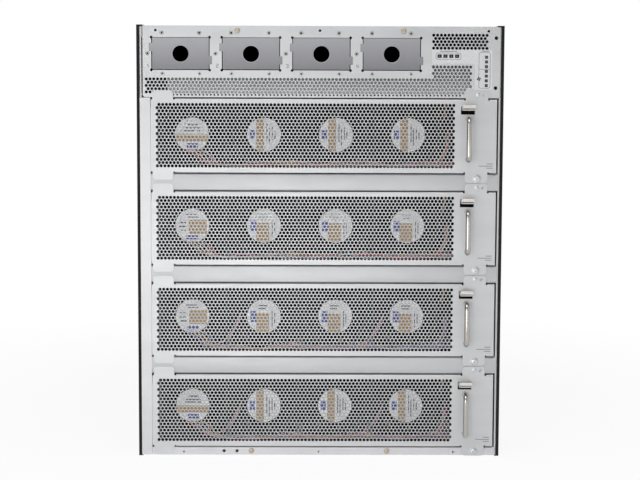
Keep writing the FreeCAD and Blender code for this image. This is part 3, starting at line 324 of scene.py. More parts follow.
def flowing(stops, count=60):
    """A smooth line through given stops: between each pair, the cubic whose end slopes follow
    the neighbours (Catmull-Rom)."""
    stops = np.asarray(stops, float)
    padded = np.concatenate([2 * stops[:1] - stops[1:2], stops, 2 * stops[-1:] - stops[-2:-1]])
    t = np.linspace(0, len(stops) - 1 - 1e-9, count)
    k = t.astype(int)
    s = (t - k)[:, None]
    p0, p1, p2, p3 = (padded[k + step] for step in range(4))
    return 0.5 * (2 * p1 + (p2 - p0) * s + (2 * p0 - 5 * p1 + 4 * p2 - p3) * s**2
                  + (3 * p1 - p0 - 3 * p2 + p3) * s**3)


def piece(name, shape, body, material, node=None):
    """A Blender object from a shape, riding on a CAD body, in a CAD node's place where one is named."""
    points, faces = shape
    mesh = bpy.data.meshes.new(name)
    mesh.from_pydata((points * MM).tolist(), [], [face for array in faces for face in array.tolist()])
    mesh.polygons.foreach_set("use_smooth", np.ones(len(mesh.polygons), bool))
    mesh.set_sharp_from_angle(angle=math.radians(35))
    mesh.materials.append(material)
    thing = bpy.data.objects.new(name, mesh)
    bpy.context.scene.collection.objects.link(thing)
    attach(thing, body)
    if node:
        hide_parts(node)


def tray_pieces(name, shape, material, node=None, body="tray"):
    """The same shape on each tray, lifted to that tray's lower edge."""
    for tray in TRAYS:
        piece(f"{name}_{tray}", moved(shape, z=TRAY_BASE[tray]), f"{body}_{tray}", material,
              node and f"{node}_{tray}")


# Materials.


def linear(code):
    """An sRGB hex colour as linear red, green, blue and alpha."""
    value = np.array([int(code[k:k + 2], 16) for k in (1, 3, 5)]) / 255
    value = np.where(value <= 0.04045, value / 12.92, ((value + 0.055) / 1.055) ** 2.4)
    return (*value.tolist(), 1.0)


def add(tree, kind, inputs=None, **settings):
    """A shader node with its settings, its inputs set to values or linked from other nodes' outputs."""
    made = tree.nodes.new(kind)
    for name, value in settings.items():
        setattr(made, name, value)
    for name, value in (inputs or {}).items():
        if isinstance(value, bpy.types.NodeSocket):
            tree.links.new(value, made.inputs[name])
        else:
            made.inputs[name].default_value = value
    return made


def finish(name, colour, metallic, roughness, **more):
    """A material with one surface shader. Returns the material, its node tree and the shader."""
    material = bpy.data.materials.new(name)
    material.use_nodes = True
    material.diffuse_color = linear(colour)
    tree = material.node_tree
    shader = tree.nodes["Principled BSDF"]
    shader.inputs["Base Color"].default_value = linear(colour)
    shader.inputs["Metallic"].default_value = metallic
    shader.inputs["Roughness"].default_value = roughness
    for socket, value in more.items():
        shader.inputs[socket.replace("_", " ")].default_value = value
    return material, tree, shader


def pattern(tree, spacing, stretch=(1, 1, 1), detail=2.0):
    """Noise in object space, its lumps about spacing millimetres across, drawn out by stretch."""
    place = add(tree, "ShaderNodeTexCoord").outputs["Object"]
    scale = [1 / (spacing * MM * k) for k in stretch]
    size = add(tree, "ShaderNodeMapping", {"Vector": place, "Scale": scale})
    return add(tree, "ShaderNodeTexNoise", {"Vector": size.outputs["Vector"], "Scale": 1.0,
                                            "Detail": detail}).outputs["Fac"]


def between(tree, fac, low, high, start=0.3, stop=0.7):
    """A number that goes evenly from low to high as fac goes from start to stop. Most of a noise
    pattern lies between 0.3 and 0.7."""
    return add(tree, "ShaderNodeMapRange", {"Value": fac, "From Min": start, "From Max": stop,
                                            "To Min": low, "To Max": high}).outputs["Result"]


def tint(tree, shader, fac, low, high):
    """The surface's colour follows a pattern between two hex colours."""
    mix = add(tree, "ShaderNodeMix", {0: between(tree, fac, 0.0, 1.0), 6: linear(low), 7: linear(high)},
              data_type="RGBA")
    tree.links.new(mix.outputs[2], shader.inputs["Base Color"])


def gloss(tree, shader, fac, low, high):
    """The surface's roughness follows a pattern from low to high."""
    tree.links.new(between(tree, fac, low, high), shader.inputs["Roughness"])


def bump(tree, shader, height, depth):
    """Relief of depth millimetres from a height pattern."""
    made = add(tree, "ShaderNodeBump", {"Height": height, "Distance": depth * MM, "Strength": 1.0})
    tree.links.new(made.outputs["Normal"], shader.inputs["Normal"])


def plated_sheet(name, low, high, grain=(60, 1, 1), metallic=0.5):
    """Zinc-plated steel sheet with clear passivation: pale, with soft streaks along the rolling
    direction and cloudy patches about 20 mm wide."""
    material, tree, shader = finish(name, high, metallic, 0.42)
    streak = pattern(tree, 0.6, grain)
    tint(tree, shader, pattern(tree, 22, (3, 1, 1), 3), low, high)
    gloss(tree, shader, streak, 0.36, 0.5)
    bump(tree, shader, streak, 0.004)
    return material


def shade_graded_sheet(name, low, high, z0, z1, metallic):
    """Grey sheet with painted shading: its tone changes evenly with height, from z0 to z1
    millimetres, standing in for how light falls on it, with a fine grain in its gloss."""
    material, tree, shader = finish(name, high, metallic, 0.42)
    place = add(tree, "ShaderNodeTexCoord").outputs["Object"]
    rise = add(tree, "ShaderNodeSeparateXYZ", {"Vector": place}).outputs["Z"]
    tint(tree, shader, between(tree, rise, 0.3, 0.7, z0 * MM, z1 * MM), low, high)
    gloss(tree, shader, pattern(tree, 0.8), 0.38, 0.48)
    return material


def powder_coat(name, low, high, roughness=0.65):
    """Baked powder paint: even colour, with a fine orange-peel skin, its grains drawn at 1 mm."""
    material, tree, shader = finish(name, high, 0.0, roughness, Specular_IOR_Level=0.3)
    tint(tree, shader, pattern(tree, 30), low, high)
    bump(tree, shader, pattern(tree, 1.0, detail=3), 0.05)
    return material


def bright_metal(name, colour, roughness):
    """Drawn or turned metal: bright, with fine lines along Z."""
    material, tree, shader = finish(name, colour, 1.0, roughness)
    gloss(tree, shader, pattern(tree, 0.4, (1, 1, 60)), roughness - 0.04, roughness + 0.06)
    return material


def moulded(name, low, high, roughness, mirror=0.5):
    """Injection-moulded plastic: even colour with a spark-eroded skin, its grains drawn at 0.8 mm."""
    material, tree, shader = finish(name, high, 0.0, roughness, Specular_IOR_Level=mirror)
    tint(tree, shader, pattern(tree, 12), low, high)
    bump(tree, shader, pattern(tree, 0.8), 0.02)
    return material


def printed(name, low, high):
    """Screen-printed ink or label film: matt, with a faint unevenness 3 mm wide."""
    material, tree, shader = finish(name, high, 0.0, 0.6)
    tint(tree, shader, pattern(tree, 3.0), low, high)
    return material


SHEET = plated_sheet("zinc_plated_sheet", "#BFC0C2", "#C6C7C8")
PANEL = plated_sheet("zinc_plated_panel", "#BFC0C2", "#C7C8C9", (90, 1, 1))
RAIL = plated_sheet("zinc_plated_rail", "#B0B1B3", "#B8B9BB", (90, 1, 1))
# Painted light: a brighter copy of the zinc-plated sheet for the shell and the foot rail, standing in for
# the light they get from the floor and the front.
LIT_PLATED_SHEET = plated_sheet("plated_shell_painted_light", "#C9C9CB", "#CFCFD1", (1, 1, 1), 0.4)
# Bay plates: painted shading, lighter towards the upper edge and darker below, standing in for reflected
# light.
BAY_PAINTED_SHADE = shade_graded_sheet("grey_plate_painted_shade", "#7D7D81", "#A0A0A5", 468, 506, 0.5)
# Baffle: painted shade, darker towards the top where less light comes in through the vents, lighter towards
# the bottom.
BAFFLE_PAINTED_SHADE = shade_graded_sheet("baffle_painted_shade", "#B4B5B7", "#7C7D80", 437, 474, 0.1)
BLACK_PAINT = powder_coat("black_powder_coat", "#060607", "#0B0B0C", 0.7)
GREY_PAINT = powder_coat("dark_grey_powder_coat", "#2B2C2F", "#34363A")
ROD = bright_metal("polished_stainless_rod", "#B0ACA7", 0.16)
LATCH = plated_sheet("folded_latch_steel", "#CFCBC7", "#D6D3CF", (1, 1, 1), 0.6)
BRIGHT = bright_metal("bright_zinc_screw", "#C4C5C7", 0.4)
BRONZE = bright_metal("dull_passivated_screw", "#B4AA9B", 0.45)
FAN_BLACK = moulded("glass_filled_nylon", "#040405", "#08080A", 0.65, 0.15)
RIM = plated_sheet("pressed_hole_rim", "#9C9CA0", "#A4A4A8", (1, 1, 1), 0.5)
LENS = moulded("milky_light_pipe", "#8E8F8A", "#9C9D97", 0.3)
LAMP_BLACK = moulded("black_lamp_holder", "#08080A", "#0E0E10", 0.4)
BOARD = moulded("solder_resist", "#08190F", "#0A2014", 0.5, 0.15)
# Black chip resin, also used as painted shadow in the panel seam, the lowest vents and the screw recesses.
CHIP_AND_SHADE_BLACK = moulded("black_chip_resin_and_painted_shade", "#0D0D0E", "#141415", 0.45)
LABEL_WHITE = printed("white_label_film", "#FAFBFC", "#FFFFFF")
LABEL_AMBER = printed("amber_label_ink", "#B08F5C", "#BA9A66")
LABEL_BLUE = printed("blue_label_ink", "#444EA4", "#535DB4")
# Grey label ink, also used as painted shade in the lower screws' recesses.
LABEL_GREY_AND_RECESS_SHADE = printed("grey_label_ink_and_recess_shade", "#5A5B60", "#66676C")
PANEL_FILM = printed("pale_panel_film", "#D0D1D3", "#D6D7D9")
INK = printed("grey_screen_ink", "#606164", "#6C6D70")
DARK_INK = printed("dark_screen_ink", "#2C2D30", "#36373A")
JACKET_TONES = {"red": ("#B03A4C", "#BE4858"), "amber": ("#B48A58", "#C09764"),
                "brown": ("#8C5E54", "#996A5F"), "rose": ("#C08A92", "#CA979E"),
                "grey": ("#A4A6AA", "#B0B2B6"), "violet": ("#6E6CA6", "#7C7AB4")}
JACKETS = {name: moulded(f"{name}_lead_jacket", *tones, 0.35) for name, tones in JACKET_TONES.items()}
PALETTES = {1: ("red", "amber", "brown", "rose", "grey"), 2: ("rose", "amber", "grey", "red", "brown"),
            3: ("violet", "rose", "amber", "violet", "grey"), 4: ("red", "grey", "rose", "amber", "violet")}


# Fan trays: the folded sheet.


def tray_outline():
    """The tray face: a plain rectangle with two tabs above and two below, each with a relief
    notch beside its root. The upper edge stops where the fold begins."""
    top, wide = TRAY_TOP - BEND, RIGHT - LEFT
    tab = (TAB_LEFT, TAB_RIGHT)
    lug = (wide - LUG_INSET - LUG_WIDTH, wide - LUG_INSET)

    def ear(x0, x1, root, notch, tip, notch_round):
        """A tab's corners and those of its notches, from left to right, each with its radius."""
        near = [(x0 - RELIEF, root, 0)] if x0 - RELIEF > FACE_EDGE else []
        return near + [(max(x0 - RELIEF, FACE_EDGE), notch, notch_round), (x0, notch, notch_round),
                       (x0, tip, TAB_ROUND), (x1, tip, TAB_ROUND), (x1, notch, notch_round),
                       (x1 + RELIEF, notch, notch_round), (x1 + RELIEF, root, 0)]

    corners = [(FACE_EDGE, FACE_FOOT, 0)]
    for (x0, x1), drop in ((tab, TAB_DROP), (lug, LUG_DROP)):
        corners += ear(x0, x1, FACE_FOOT, NOTCH, -drop, NOTCH_ROUND)
    corners += [(wide, FACE_FOOT, 0), (wide, top, 0)]
    for (x0, x1), rise in ((lug, LUG_RISE), (tab, TAB_RISE)):
        corners += ear(x0, x1, top, top + TOP_NOTCH, TRAY_HEIGHT + rise, 0)[::-1]
    x, z, radii = np.transpose(corners)
    return rounded(np.stack([LEFT + x, z], -1), radii)


def grille_holes():
    """Centres of the round holes: rows a hole pitch times sin 60 apart, every other one shifted
    by half a pitch."""
    row = np.arange(HOLE_ROWS)[:, None]
    column = np.arange(HOLE_COLUMNS)[None]
    x = LEFT + GRILLE_LEFT + HOLE_PITCH * (column + 0.5 * (row % 2 == 0))
    z = TRAY_HEIGHT - GRILLE_DROP - ROW_PITCH * row + 0 * column
    return x.ravel(), z.ravel()


def bend(radius, edge, sign):
    """A quarter turn round the inside of a fold, from the face to the lip at edge, which is the
    upper edge with sign 1 and the lower one with -1."""
    t = np.linspace(0, np.pi / 2, 7)
    return np.stack([BEND - radius * np.cos(t), edge + sign * (radius * np.sin(t) - BEND)], -1)


def fold(x0, x1, edge, gauge, depth, front):
    """A right-angle fold at the upper edge of a face, with a flat lip that runs back."""
    profile = np.concatenate([bend(BEND, edge, 1), [[depth, edge], [depth, edge - gauge]],
                              bend(BEND - gauge, edge, 1)[::-1]])
    return along_x(profile + (front, 0), x0, x1)


def tray_sheet():
    """The whole tray: perforated face, upper fold between the tabs, floor and side walls."""
    x, z = grille_holes()
    window = rectangle(GRIP_X - WINDOW_HALF, GRIP_X + WINDOW_HALF, WINDOW_LOW, WINDOW_HIGH)
    holes = list(circle(x, z, HOLE_RADIUS, 12, 15)) + [window, circle(*DIMPLE, 1.5, 16)[0]]
    parts = [flat_sheet(tray_outline(), holes, FACE, TRAY_GAUGE)]
    for x0, x1 in ((LEFT + TAB_RIGHT + RELIEF, RIGHT - LUG_INSET - LUG_WIDTH - RELIEF),
                   (RIGHT - LUG_INSET + RELIEF, RIGHT)):
        parts.append(fold(x0, x1, TRAY_TOP, TRAY_GAUGE, LIP_DEPTH, FACE))
    front, back = FACE + TRAY_GAUGE, FACE + TRAY_DEPTH
    parts.append(block(LEFT, RIGHT, front, back, FLOOR_LIFT, FLOOR_TOP))
    for x0 in (LEFT, RIGHT - TRAY_GAUGE):
        parts.append(block(x0, x0 + TRAY_GAUGE, front, back, FLOOR_TOP, FLOOR_TOP + WALL_RISE))
    return join(parts)


tray_pieces("tray_sheet", tray_sheet(), SHEET, "fan_tray")


# Handle, latch and screws of a tray.


def handle_path():
    """Centre line of the handle: out of the face, up and back in, with two round bends."""
    t = np.linspace(0, np.pi / 2, 9)
    out = GRIP_REACH - ROD_RADIUS - ROD_BEND
    low, high = GRIP_LOW, GRIP_LOW + GRIP_SPAN
    y = np.concatenate([[0], -out - ROD_BEND * np.sin(t), -out - ROD_BEND * np.cos(t), [0]])
    z = np.concatenate([[low], low + ROD_BEND * (1 - np.cos(t)),
                        high - ROD_BEND * (1 - np.sin(t)), [high]])
    return np.stack([np.full(len(y), GRIP_X), FACE + y, z], -1)


tray_pieces("handle", rod(handle_path(), ROD_RADIUS, sides=24), ROD, "pull_handle")


def latch_shape():
    """The latch: two layers of folded sheet with the thin open fold between them, the upper one
    turned up into a thumb lip."""
    low, high, tip = 75.3, 79.4, 81.7
    back, front = FACE + LATCH_BACK, FACE - LATCH_REACH
    gap_low, gap_high = 76.9, 77.8
    tongue = [(back, low), (front + 1.2, low), (front + 1.2, gap_low), (front + 12.0, gap_low),
              (front + 12.0, gap_high), (front, gap_high), (front, tip), (front + 1.8, tip),
              (front + 1.8, high), (back, high)][::-1]
    radii = [0, 0.8, 0.85, 0.9, 0.3, 0.3, 0.3, 0.7, 0.7, 0]
    return along_x(rounded(tongue, radii), GRIP_X - LATCH_HALF, GRIP_X + LATCH_HALF)


catch = block(GRIP_X - LATCH_HALF, GRIP_X + LATCH_HALF, FACE + LATCH_BACK, FACE + LATCH_BACK + 2.0,
              CATCH_LOW, CATCH_HIGH)
tray_pieces("latch", latch_shape(), LATCH, "release_latch", "latch")
tray_pieces("latch_catch", catch, BLACK_PAINT, "release_latch", "latch")


def tray_screw_shape():
    """Captive screw on the lower right tab, with a rounded edge and a driver's recess, and the
    domed stud on the upper right tab."""
    head = [(4.0, 0), (4.0, 1.6), (3.75, 2.1), (3.2, 2.4), (1.45, 2.4), (1.3, 0.7), (0.01, 0.6)]
    collar = [(4.9, 0), (4.9, 0.35), (4.6, 0.5), (4.0, 0.5)]
    stud = [(2.9, 0), (2.9, 0.3), (2.1, 0.4), (2.0, 0.8), (1.5, 1.15), (0.01, 1.2)]
    ring = [(2.3, 0), (2.3, 0.25), (2.0, 0.4), (1.5, 0.2), (1.5, 0)]
    low, high = (SCREW_X, -6.4), (SCREW_X, TRAY_HEIGHT + 5.0)
    return join([turned(head, low, FACE, 32), turned(collar, low, FACE, 32), turned(stud, high, FACE),
                 turned(ring, DIMPLE, FACE, closed=True)])


tray_pieces("tray_screw", tray_screw_shape(), BRIGHT, "tray_screws")


# Three plain printed bars at the lower right of each tray face, and a dark liner on its floor.
marks = [(199.8, 206.9, 10.9, 11.7), (190.2, 206.9, 8.3, 9.0), (199.2, 206.9, 5.9, 6.6)]
tray_pieces("tray_marks", join([bar(*mark, FACE) for mark in marks]), INK)
liner = block(LEFT + 2, RIGHT - 45, FACE + 1.5, FACE + 26, FLOOR_TOP, FLOOR_TOP + 0.3)
tray_pieces("floor_liner", liner, FAN_BLACK)


# Fans.


def fan_frame():
    """A moulded fan frame: square with rounded corners, a round bore and four screw holes, and a
    motor base on four struts at its front."""
    front = FACE + FAN_FRONT
    outline = rounded(rectangle_at(0, 0, FAN_SIZE, FAN_SIZE), 3.5)
    corner = FAN_SIZE / 2 - 4.3
    screws = [circle(x, z, 2.15, 12)[0] for x in (-corner, corner) for z in (-corner, corner)]
    bore = circle(0, 0, FAN_BORE, 64)[0]
    base = [(MOTOR_RADIUS, 0), (MOTOR_RADIUS, 5.2), (MOTOR_RADIUS - 0.8, 6.0), (0.01, 6.0)]
    parts = [flat_sheet(outline, [bore] + screws, front, FAN_DEPTH),
             turned(base, (0, 0), front + 6.0, 48)]
    strut = rectangle(MOTOR_RADIUS - 2, 38.9, -2.2, 2.2)
    parts += [plate(spun(strut, angle), front + 0.6, 4.0) for angle in (35, 125, 215, 305)]
    return join(parts)


def rotor_shape():
    """An impeller: a plain hub and seven blades. A blade's surface is a straight line from the hub
    outwards, turned about the axis as it goes back along it, thicker in its middle."""
    front = FACE + 33.7
    hub = [(HUB_RADIUS, 0), (HUB_RADIUS, 24.6), (HUB_RADIUS - 0.9, 25.6), (0.01, 25.6)]
    parts = [turned(hub, (0, 0), front + 25.7)]
    steps = 9
    radius = np.linspace(BLADE_ROOT, BLADE_TIP, steps)[:, None]
    run = np.linspace(0, 1, steps)[None]
    lean = 1.15 - 0.45 * (radius - BLADE_ROOT) / (BLADE_TIP - BLADE_ROOT)
    thick = (0.35 + 1.3 * np.sqrt(np.clip(run * (1 - run), 0, 1))) / radius
    y = front + 1.6 + 22.0 * run + 0 * radius
    shells = []
    for sign in (-1, 1):
        turn = lean * (run - 0.5) + sign * thick / 2
        shells.append(np.stack([radius * np.cos(turn), y, radius * np.sin(turn)], -1).reshape(-1, 3))
    points = np.concatenate(shells)
    grid = np.arange(steps * steps).reshape(steps, steps)
    a = grid[:-1, :-1].ravel()
    low = np.stack([a, a + 1, a + steps + 1, a + steps], -1)
    border = np.concatenate([grid[0], grid[1:, -1], grid[-1, -2::-1], grid[-2:0:-1, 0]])
    after = np.roll(border, -1)
    rim = np.stack([border, border + grid.size, after + grid.size, after], -1)
    for k in range(BLADES):
        blade = points.copy()
        blade[:, [0, 2]] = spun(points[:, [0, 2]], 360 * k / BLADES)
        parts.append((blade, [low, low[:, [0, 3, 2, 1]] + grid.size, rim]))
    return join(parts)


frames = join([moved(fan_frame(), x=x, z=MID_Z) for x in FAN_X])
tray_pieces("fan_frame_set", frames, FAN_BLACK, "fan_frames")
one_rotor = rotor_shape()
for tray in TRAYS:
    for number, x in enumerate(FAN_X, 1):
        rotor = f"rotor_{tray}_{number}"
        piece(f"impeller_{tray}_{number}", moved(one_rotor, x=x, z=TRAY_BASE[tray] + MID_Z),
              rotor, FAN_BLACK, rotor)


# Fan labels: plain colour fields on a round film, in two layouts.

LABEL_RADIUS = 20.4
LABEL_FRONT = FACE + FAN_FRONT


def field(x0, x1, z0, z1, centre):
    """A printed field on a round label: a rectangle cut to the label's edge."""
    loop = circle(0, 0, LABEL_RADIUS - 0.3, 48)[0]
    for axis, limit, above in ((0, x0, True), (0, x1, False), (1, z0, True), (1, z1, False)):
        loop = clipped(loop, axis, limit, above)
    return moved(plate(loop, LABEL_FRONT - 0.18, 0.08), x=centre, z=MID_Z)


FIRST_OUTER = {"amber": [(-21, 21, -8.7, 0)], "blue": [(-6.5, 7.3, -16.4, -10.6)],
               "grey": [(-8.5, 9.5, 6.6, 8.3), (-10, 4, 3.4, 5.0), (6, 10, 3.4, 5.0),
                        (-5, 7, 10.6, 12.4)]}
REST_OUTER = {"amber": [(-9.4, 0, -21, 21)], "blue": [(-17.4, -10.9, -5.5, 5.5)],
              "grey": [(2.9, 4.4, -9, 13), (5.8, 7.3, -13, 8), (9.4, 10.8, -6, 9), (12.4, 14, -5, 4)]}
FIRST_INNER = {"amber": [(-4.4, 18, -10, 7.3)], "blue": [(-7.3, 7.3, -16.7, -11.6)],
               "grey": [(-8, 6, 12.8, 14.4), (-6, 8, 9.8, 11.2), (-15.6, -7.3, 3, 5), (-16, -7.3, -2, 0),
                        (-14.6, -7.3, -7, -5)]}
REST_INNER = {"amber": [(-9.4, 6.5, -19.6, 3.6)], "blue": [(-16.7, -9.4, -7.3, 6.5)],
              "grey": [(-6.5, 4.4, 12.2, 13.8), (-6.5, 2.6, 8.7, 10.3), (9.4, 10.8, -13.8, 6.5),
                       (12.4, 13.8, -9, 4)]}
INKS = {"amber": LABEL_AMBER, "blue": LABEL_BLUE, "grey": LABEL_GREY_AND_RECESS_SHADE}
disc = [(LABEL_RADIUS, 0), (LABEL_RADIUS, 0.1), (0.01, 0.1)]
label_film = turned(disc, [(x, MID_Z) for x in FAN_X], LABEL_FRONT, 48)
tray_pieces("fan_label", label_film, LABEL_WHITE)
for tray in TRAYS:
    first, rest = (FIRST_OUTER, REST_OUTER) if tray in (1, 4) else (FIRST_INNER, REST_INNER)
    for ink, material in INKS.items():
        fields = [field(*spot, x) for k, x in enumerate(FAN_X) for spot in (rest if k else first)[ink]]
        piece(f"label_{ink}_{tray}", moved(join(fields), z=TRAY_BASE[tray]), f"tray_{tray}",
              material)


# Fan leads: thin strands along the tray's floor and up between the fans.

LEAD_RADIUS = 0.8


def lead_strands(tray):
    """Strands by colour. Most start at a fan's lower edge, drop to the floor in front of the fans
    and run along it, swaying up and down past each other; a few rise between the fans."""
    rng = np.random.default_rng(4 + tray)
    colours = PALETTES[tray]
    out = {colour: [] for colour in colours}
    right = FAN_X[3] + 38

    def strand(colour, stops, count, side=(0.02, 0.98, 0.03)):
        out[colour].append(rod(flowing(stops, count), LEAD_RADIUS, side, 8))

    for fan, x in enumerate(FAN_X):
        for k in range(4):
            colour = colours[(fan + k) % len(colours)]
            near = FACE + 13.5 - 1.6 * (k % 3)
            start = x + (4.0 if fan == 0 else 26.0) + 6.0 * k
            top = MID_Z - (21.0 if fan == 0 else 34.0)
            stops = [(start - 12, FACE + 23.5, top + 3), (start, near + 3, top - 3),
                     (start + 9, near, 14.0 - k), (start + 20 + 3 * k, near, 9.5 - k)]
            end = min(right, start + rng.uniform(120, 200))
            steps = max(2, int((end - stops[-1][0]) / 17))
            for step in range(1, steps + 1):
                stops.append((stops[3][0] + (end - stops[3][0]) * step / steps,
                              near + rng.uniform(-1, 1), rng.uniform(6.2, 11.5)))
            strand(colour, stops, 110)
    for colour, x, top in ((colours[0], 155.0, 50), (colours[1], 152.5, 44)):
        stops = [(x - 40, FACE + 13, 8), (x - 16, FACE + 14, 12), (x - 5, FACE + 16, 20),
                 (x, FACE + 18, (22 + top) / 2), (x - 1, FACE + 20, top)]
        strand(colour, stops, 50)
    stops = [(149, FACE + 34, 62), (150.5, FACE + 28, 68), (151.5, FACE + 22, 76), (151, FACE + 20, 84)]
    strand("amber", stops, 30, (0.98, 0.02, 0.03))
    for fan in (1, 3) if tray > 2 else ():
        x = FAN_X[fan]
        stops = [(x - 74, FACE + 24, 8), (x - 56, FACE + 24, 11), (x - 43, FACE + 23, 20),
                 (x - 33, FACE + 21, 36), (x - 28, FACE + 22, 49)]
        strand("rose", stops, 50)
    return out


for tray in TRAYS:
    for colour, group in lead_strands(tray).items():
        piece(f"leads_{colour}_{tray}", moved(join(group), z=TRAY_BASE[tray]), f"tray_{tray}",
              JACKETS[colour], f"fan_leads_{tray}")


# Fan board behind the fans: board, plug with its contact field, and a few parts.


def board_shapes():
    """The board's own sheet, and the black parts on it: plug shell, chips and connectors."""
    low, high = box_mm("fan_board_1")
    x0, x1, z0, z1 = low[0], high[0], low[2] - TRAY_BASE[1], high[2] - TRAY_BASE[1]
    gauge = 1.6
    face, back = low[1], low[1] + gauge
    holes = [circle(x, z, 1.7, 12)[0] for x in (x0 + 5, x1 - 5) for z in (z0 + 5, z1 - 5)]
    sheet = flat_sheet(rounded(rectangle(x0, x1, z0, z1), 1.5), holes, face, gauge)
    middle, rise = (x0 + x1) / 2, (z0 + z1) / 2
    shell = rounded(rectangle_at(middle, rise, 44, 12), 1.2)
    slots = [rectangle(x, x + 1.8, rise - 3.6, rise + 3.6) for x in middle - 19 + 4 * np.arange(10)]
    parts = [flat_sheet(shell, slots, back, 11.9)]
    spots = [(x0 + 14, rise + 18, 9, 9), (x0 + 32, rise + 19, 6, 4), (middle + 6, rise + 19, 12, 7),
             (x1 - 14, rise + 18, 7, 7), (x0 + 12, rise - 18, 6, 10), (middle - 12, rise - 19, 10, 5),
             (middle + 14, rise - 19, 6, 4), (x1 - 13, rise - 17, 8, 12)]
    parts += [box_at(*spot, back, back + 1.6) for spot in spots]
    return sheet, join(parts)


board_sheet, board_parts = board_shapes()
tray_pieces("board", board_sheet, BOARD, "fan_board")
tray_pieces("board_parts", board_parts, CHIP_AND_SHADE_BLACK, "fan_board")


# Rails.


def channel_rail(low, high):
    """A rail between two trays: a face with a rounded fold and a return behind each long edge."""
    inner = BEND - FRAME_GAUGE
    profile = np.concatenate([[[RAIL_DEPTH, low]], bend(BEND, low, -1)[::-1], bend(BEND, high, 1),
                              [[RAIL_DEPTH, high], [RAIL_DEPTH, high - FRAME_GAUGE]],
                              bend(inner, high, 1)[::-1], bend(inner, low, -1),
                              [[RAIL_DEPTH, low + FRAME_GAUGE]]])
    return along_x(profile + (FRAME_Y, 0), LEFT, RAIL_RIGHT)


def foot_rail():
    """The lowest rail: a face with small holes and one fold along its upper edge."""
    low, high = 1.0, TRAY_BASE[4] - SLOT_GAP
    small = circle([-164.5, -0.6, 163.4], 4.7, 1.1, 12)
    large = circle([-115.6, -99.7], 5.7, 1.9, 16)
    outline = rectangle(LEFT, RAIL_RIGHT, low, high - BEND)
    face = flat_sheet(outline, list(small) + list(large), FRAME_Y, FRAME_GAUGE)
    return join([face, fold(LEFT, RAIL_RIGHT, high, FRAME_GAUGE, RAIL_DEPTH, FRAME_Y)])


channels = [channel_rail(TRAY_BASE[tray] + TRAY_TOP + SLOT_GAP, TRAY_BASE[tray - 1] - SLOT_GAP)
            for tray in TRAYS[1:]]
piece("rails", join(channels), "chassis", RAIL, "crossmembers")
# The foot rail takes the brighter, painted-light copy of the plated sheet.
piece("foot_rail", foot_rail(), "chassis", LIT_PLATED_SHEET, "crossmembers")


# Upper panel.

SEAM = 0.8
SCREW_COLUMNS = (-188.6, -144.2, -106.2, -61.3, -23.0, 22.0, 61.3, 107.7)
HIGH_SCREWS = [(x, 511.0) for x in SCREW_COLUMNS] + [(x, 486.5) for x in (-205.8, -124.9, -41.2, 43.0)]
LOW_SCREWS = [(x + 0.4, 462.8) for x in SCREW_COLUMNS]
STRIP_TOP, VENT_PITCH, VENT_ROW = 456.2, 4.44, 3.854
BLOCK_LEFT, BLOCK_TOP, BLOCK_PITCH, BLOCK_ROW = 134.6, 509.2, 4.53, 3.82
LOW_VENTS = [(x, 437.6) for x in np.arange(-175.0, 169.5, VENT_PITCH)]
SUPPLY_LAMPS = [(141.9 + 6.93 * k, PANEL_TOP - 35.0) for k in range(4)]
FAN_LAMPS = [(197.8, PANEL_TOP - 36.1 - 5.6 * k) for k in range(7)]
LAMPS = ((SUPPLY_LAMPS, 5.0, 4.0), (FAN_LAMPS, 3.5, 3.5))


def lamp_windows(slack):
    """Rectangles round the lamps, slack wider and higher than their holders."""
    return [rectangle_at(x, z, wide + slack, high + slack) for spots, wide, high in LAMPS for x, z in spots]


def vent_rows():
    """Centres of the panel's round vents: the strip under the bays, which runs on to the right
    edge, the block right of it, and the block above the lamps."""
    spots = []

    def row(x, z):
        spots.append(np.stack([x, np.full(len(x), z)], -1))

    for k, last in enumerate((179.9, 179.9, 179.9, 172.8, 170.0)):
        first = PANEL_LEFT + 5.0 + VENT_PITCH / 2 * (k % 2)
        row(np.arange(first, last + 0.1, VENT_PITCH), STRIP_TOP - VENT_ROW * k)
    for k in range(1, 5):
        row(BLOCK_LEFT + VENT_PITCH * (k % 2 / 2 + np.arange(11 - k % 2)), STRIP_TOP + VENT_ROW * k)
    for k in range(5):
        row(BLOCK_LEFT + BLOCK_PITCH * (k % 2 / 2 + np.arange(15 - k % 2)), BLOCK_TOP - BLOCK_ROW * k)
    return np.concatenate(spots)


def bay_loop(x, slack, reliefs):
    """A bay's opening with its two tab notches, and at each corner a small round relief; or, with
    a slack, the outline of the plate that fills it."""
    left, right = x - BAY_WIDE / 2 + slack, x + BAY_WIDE / 2 - slack
    low, high = BAY_Z - BAY_HIGH / 2 + slack, BAY_Z + BAY_HIGH / 2 - slack / 2
    half, tab = (4.8, 2.8) if reliefs else (4.75, 2.75 + slack)
    right_tab, left_tab = BAY_Z - BAY_TAB_SHIFT, BAY_Z + BAY_TAB_SHIFT
    relief = circle(0, 0, 1.7, 8)[0][:7] if reliefs else np.zeros((1, 2))
    return np.concatenate([
        spun(relief, 90) + (left, low), spun(relief, 180) + (right, low),
        [[right, right_tab - half], [right + tab, right_tab - half],
         [right + tab, right_tab + half], [right, right_tab + half]],
        spun(relief, 270) + (right, high), relief + (left, high),
        [[left, left_tab + half], [left - tab, left_tab + half],
         [left - tab, left_tab - half], [left, left_tab - half]]])


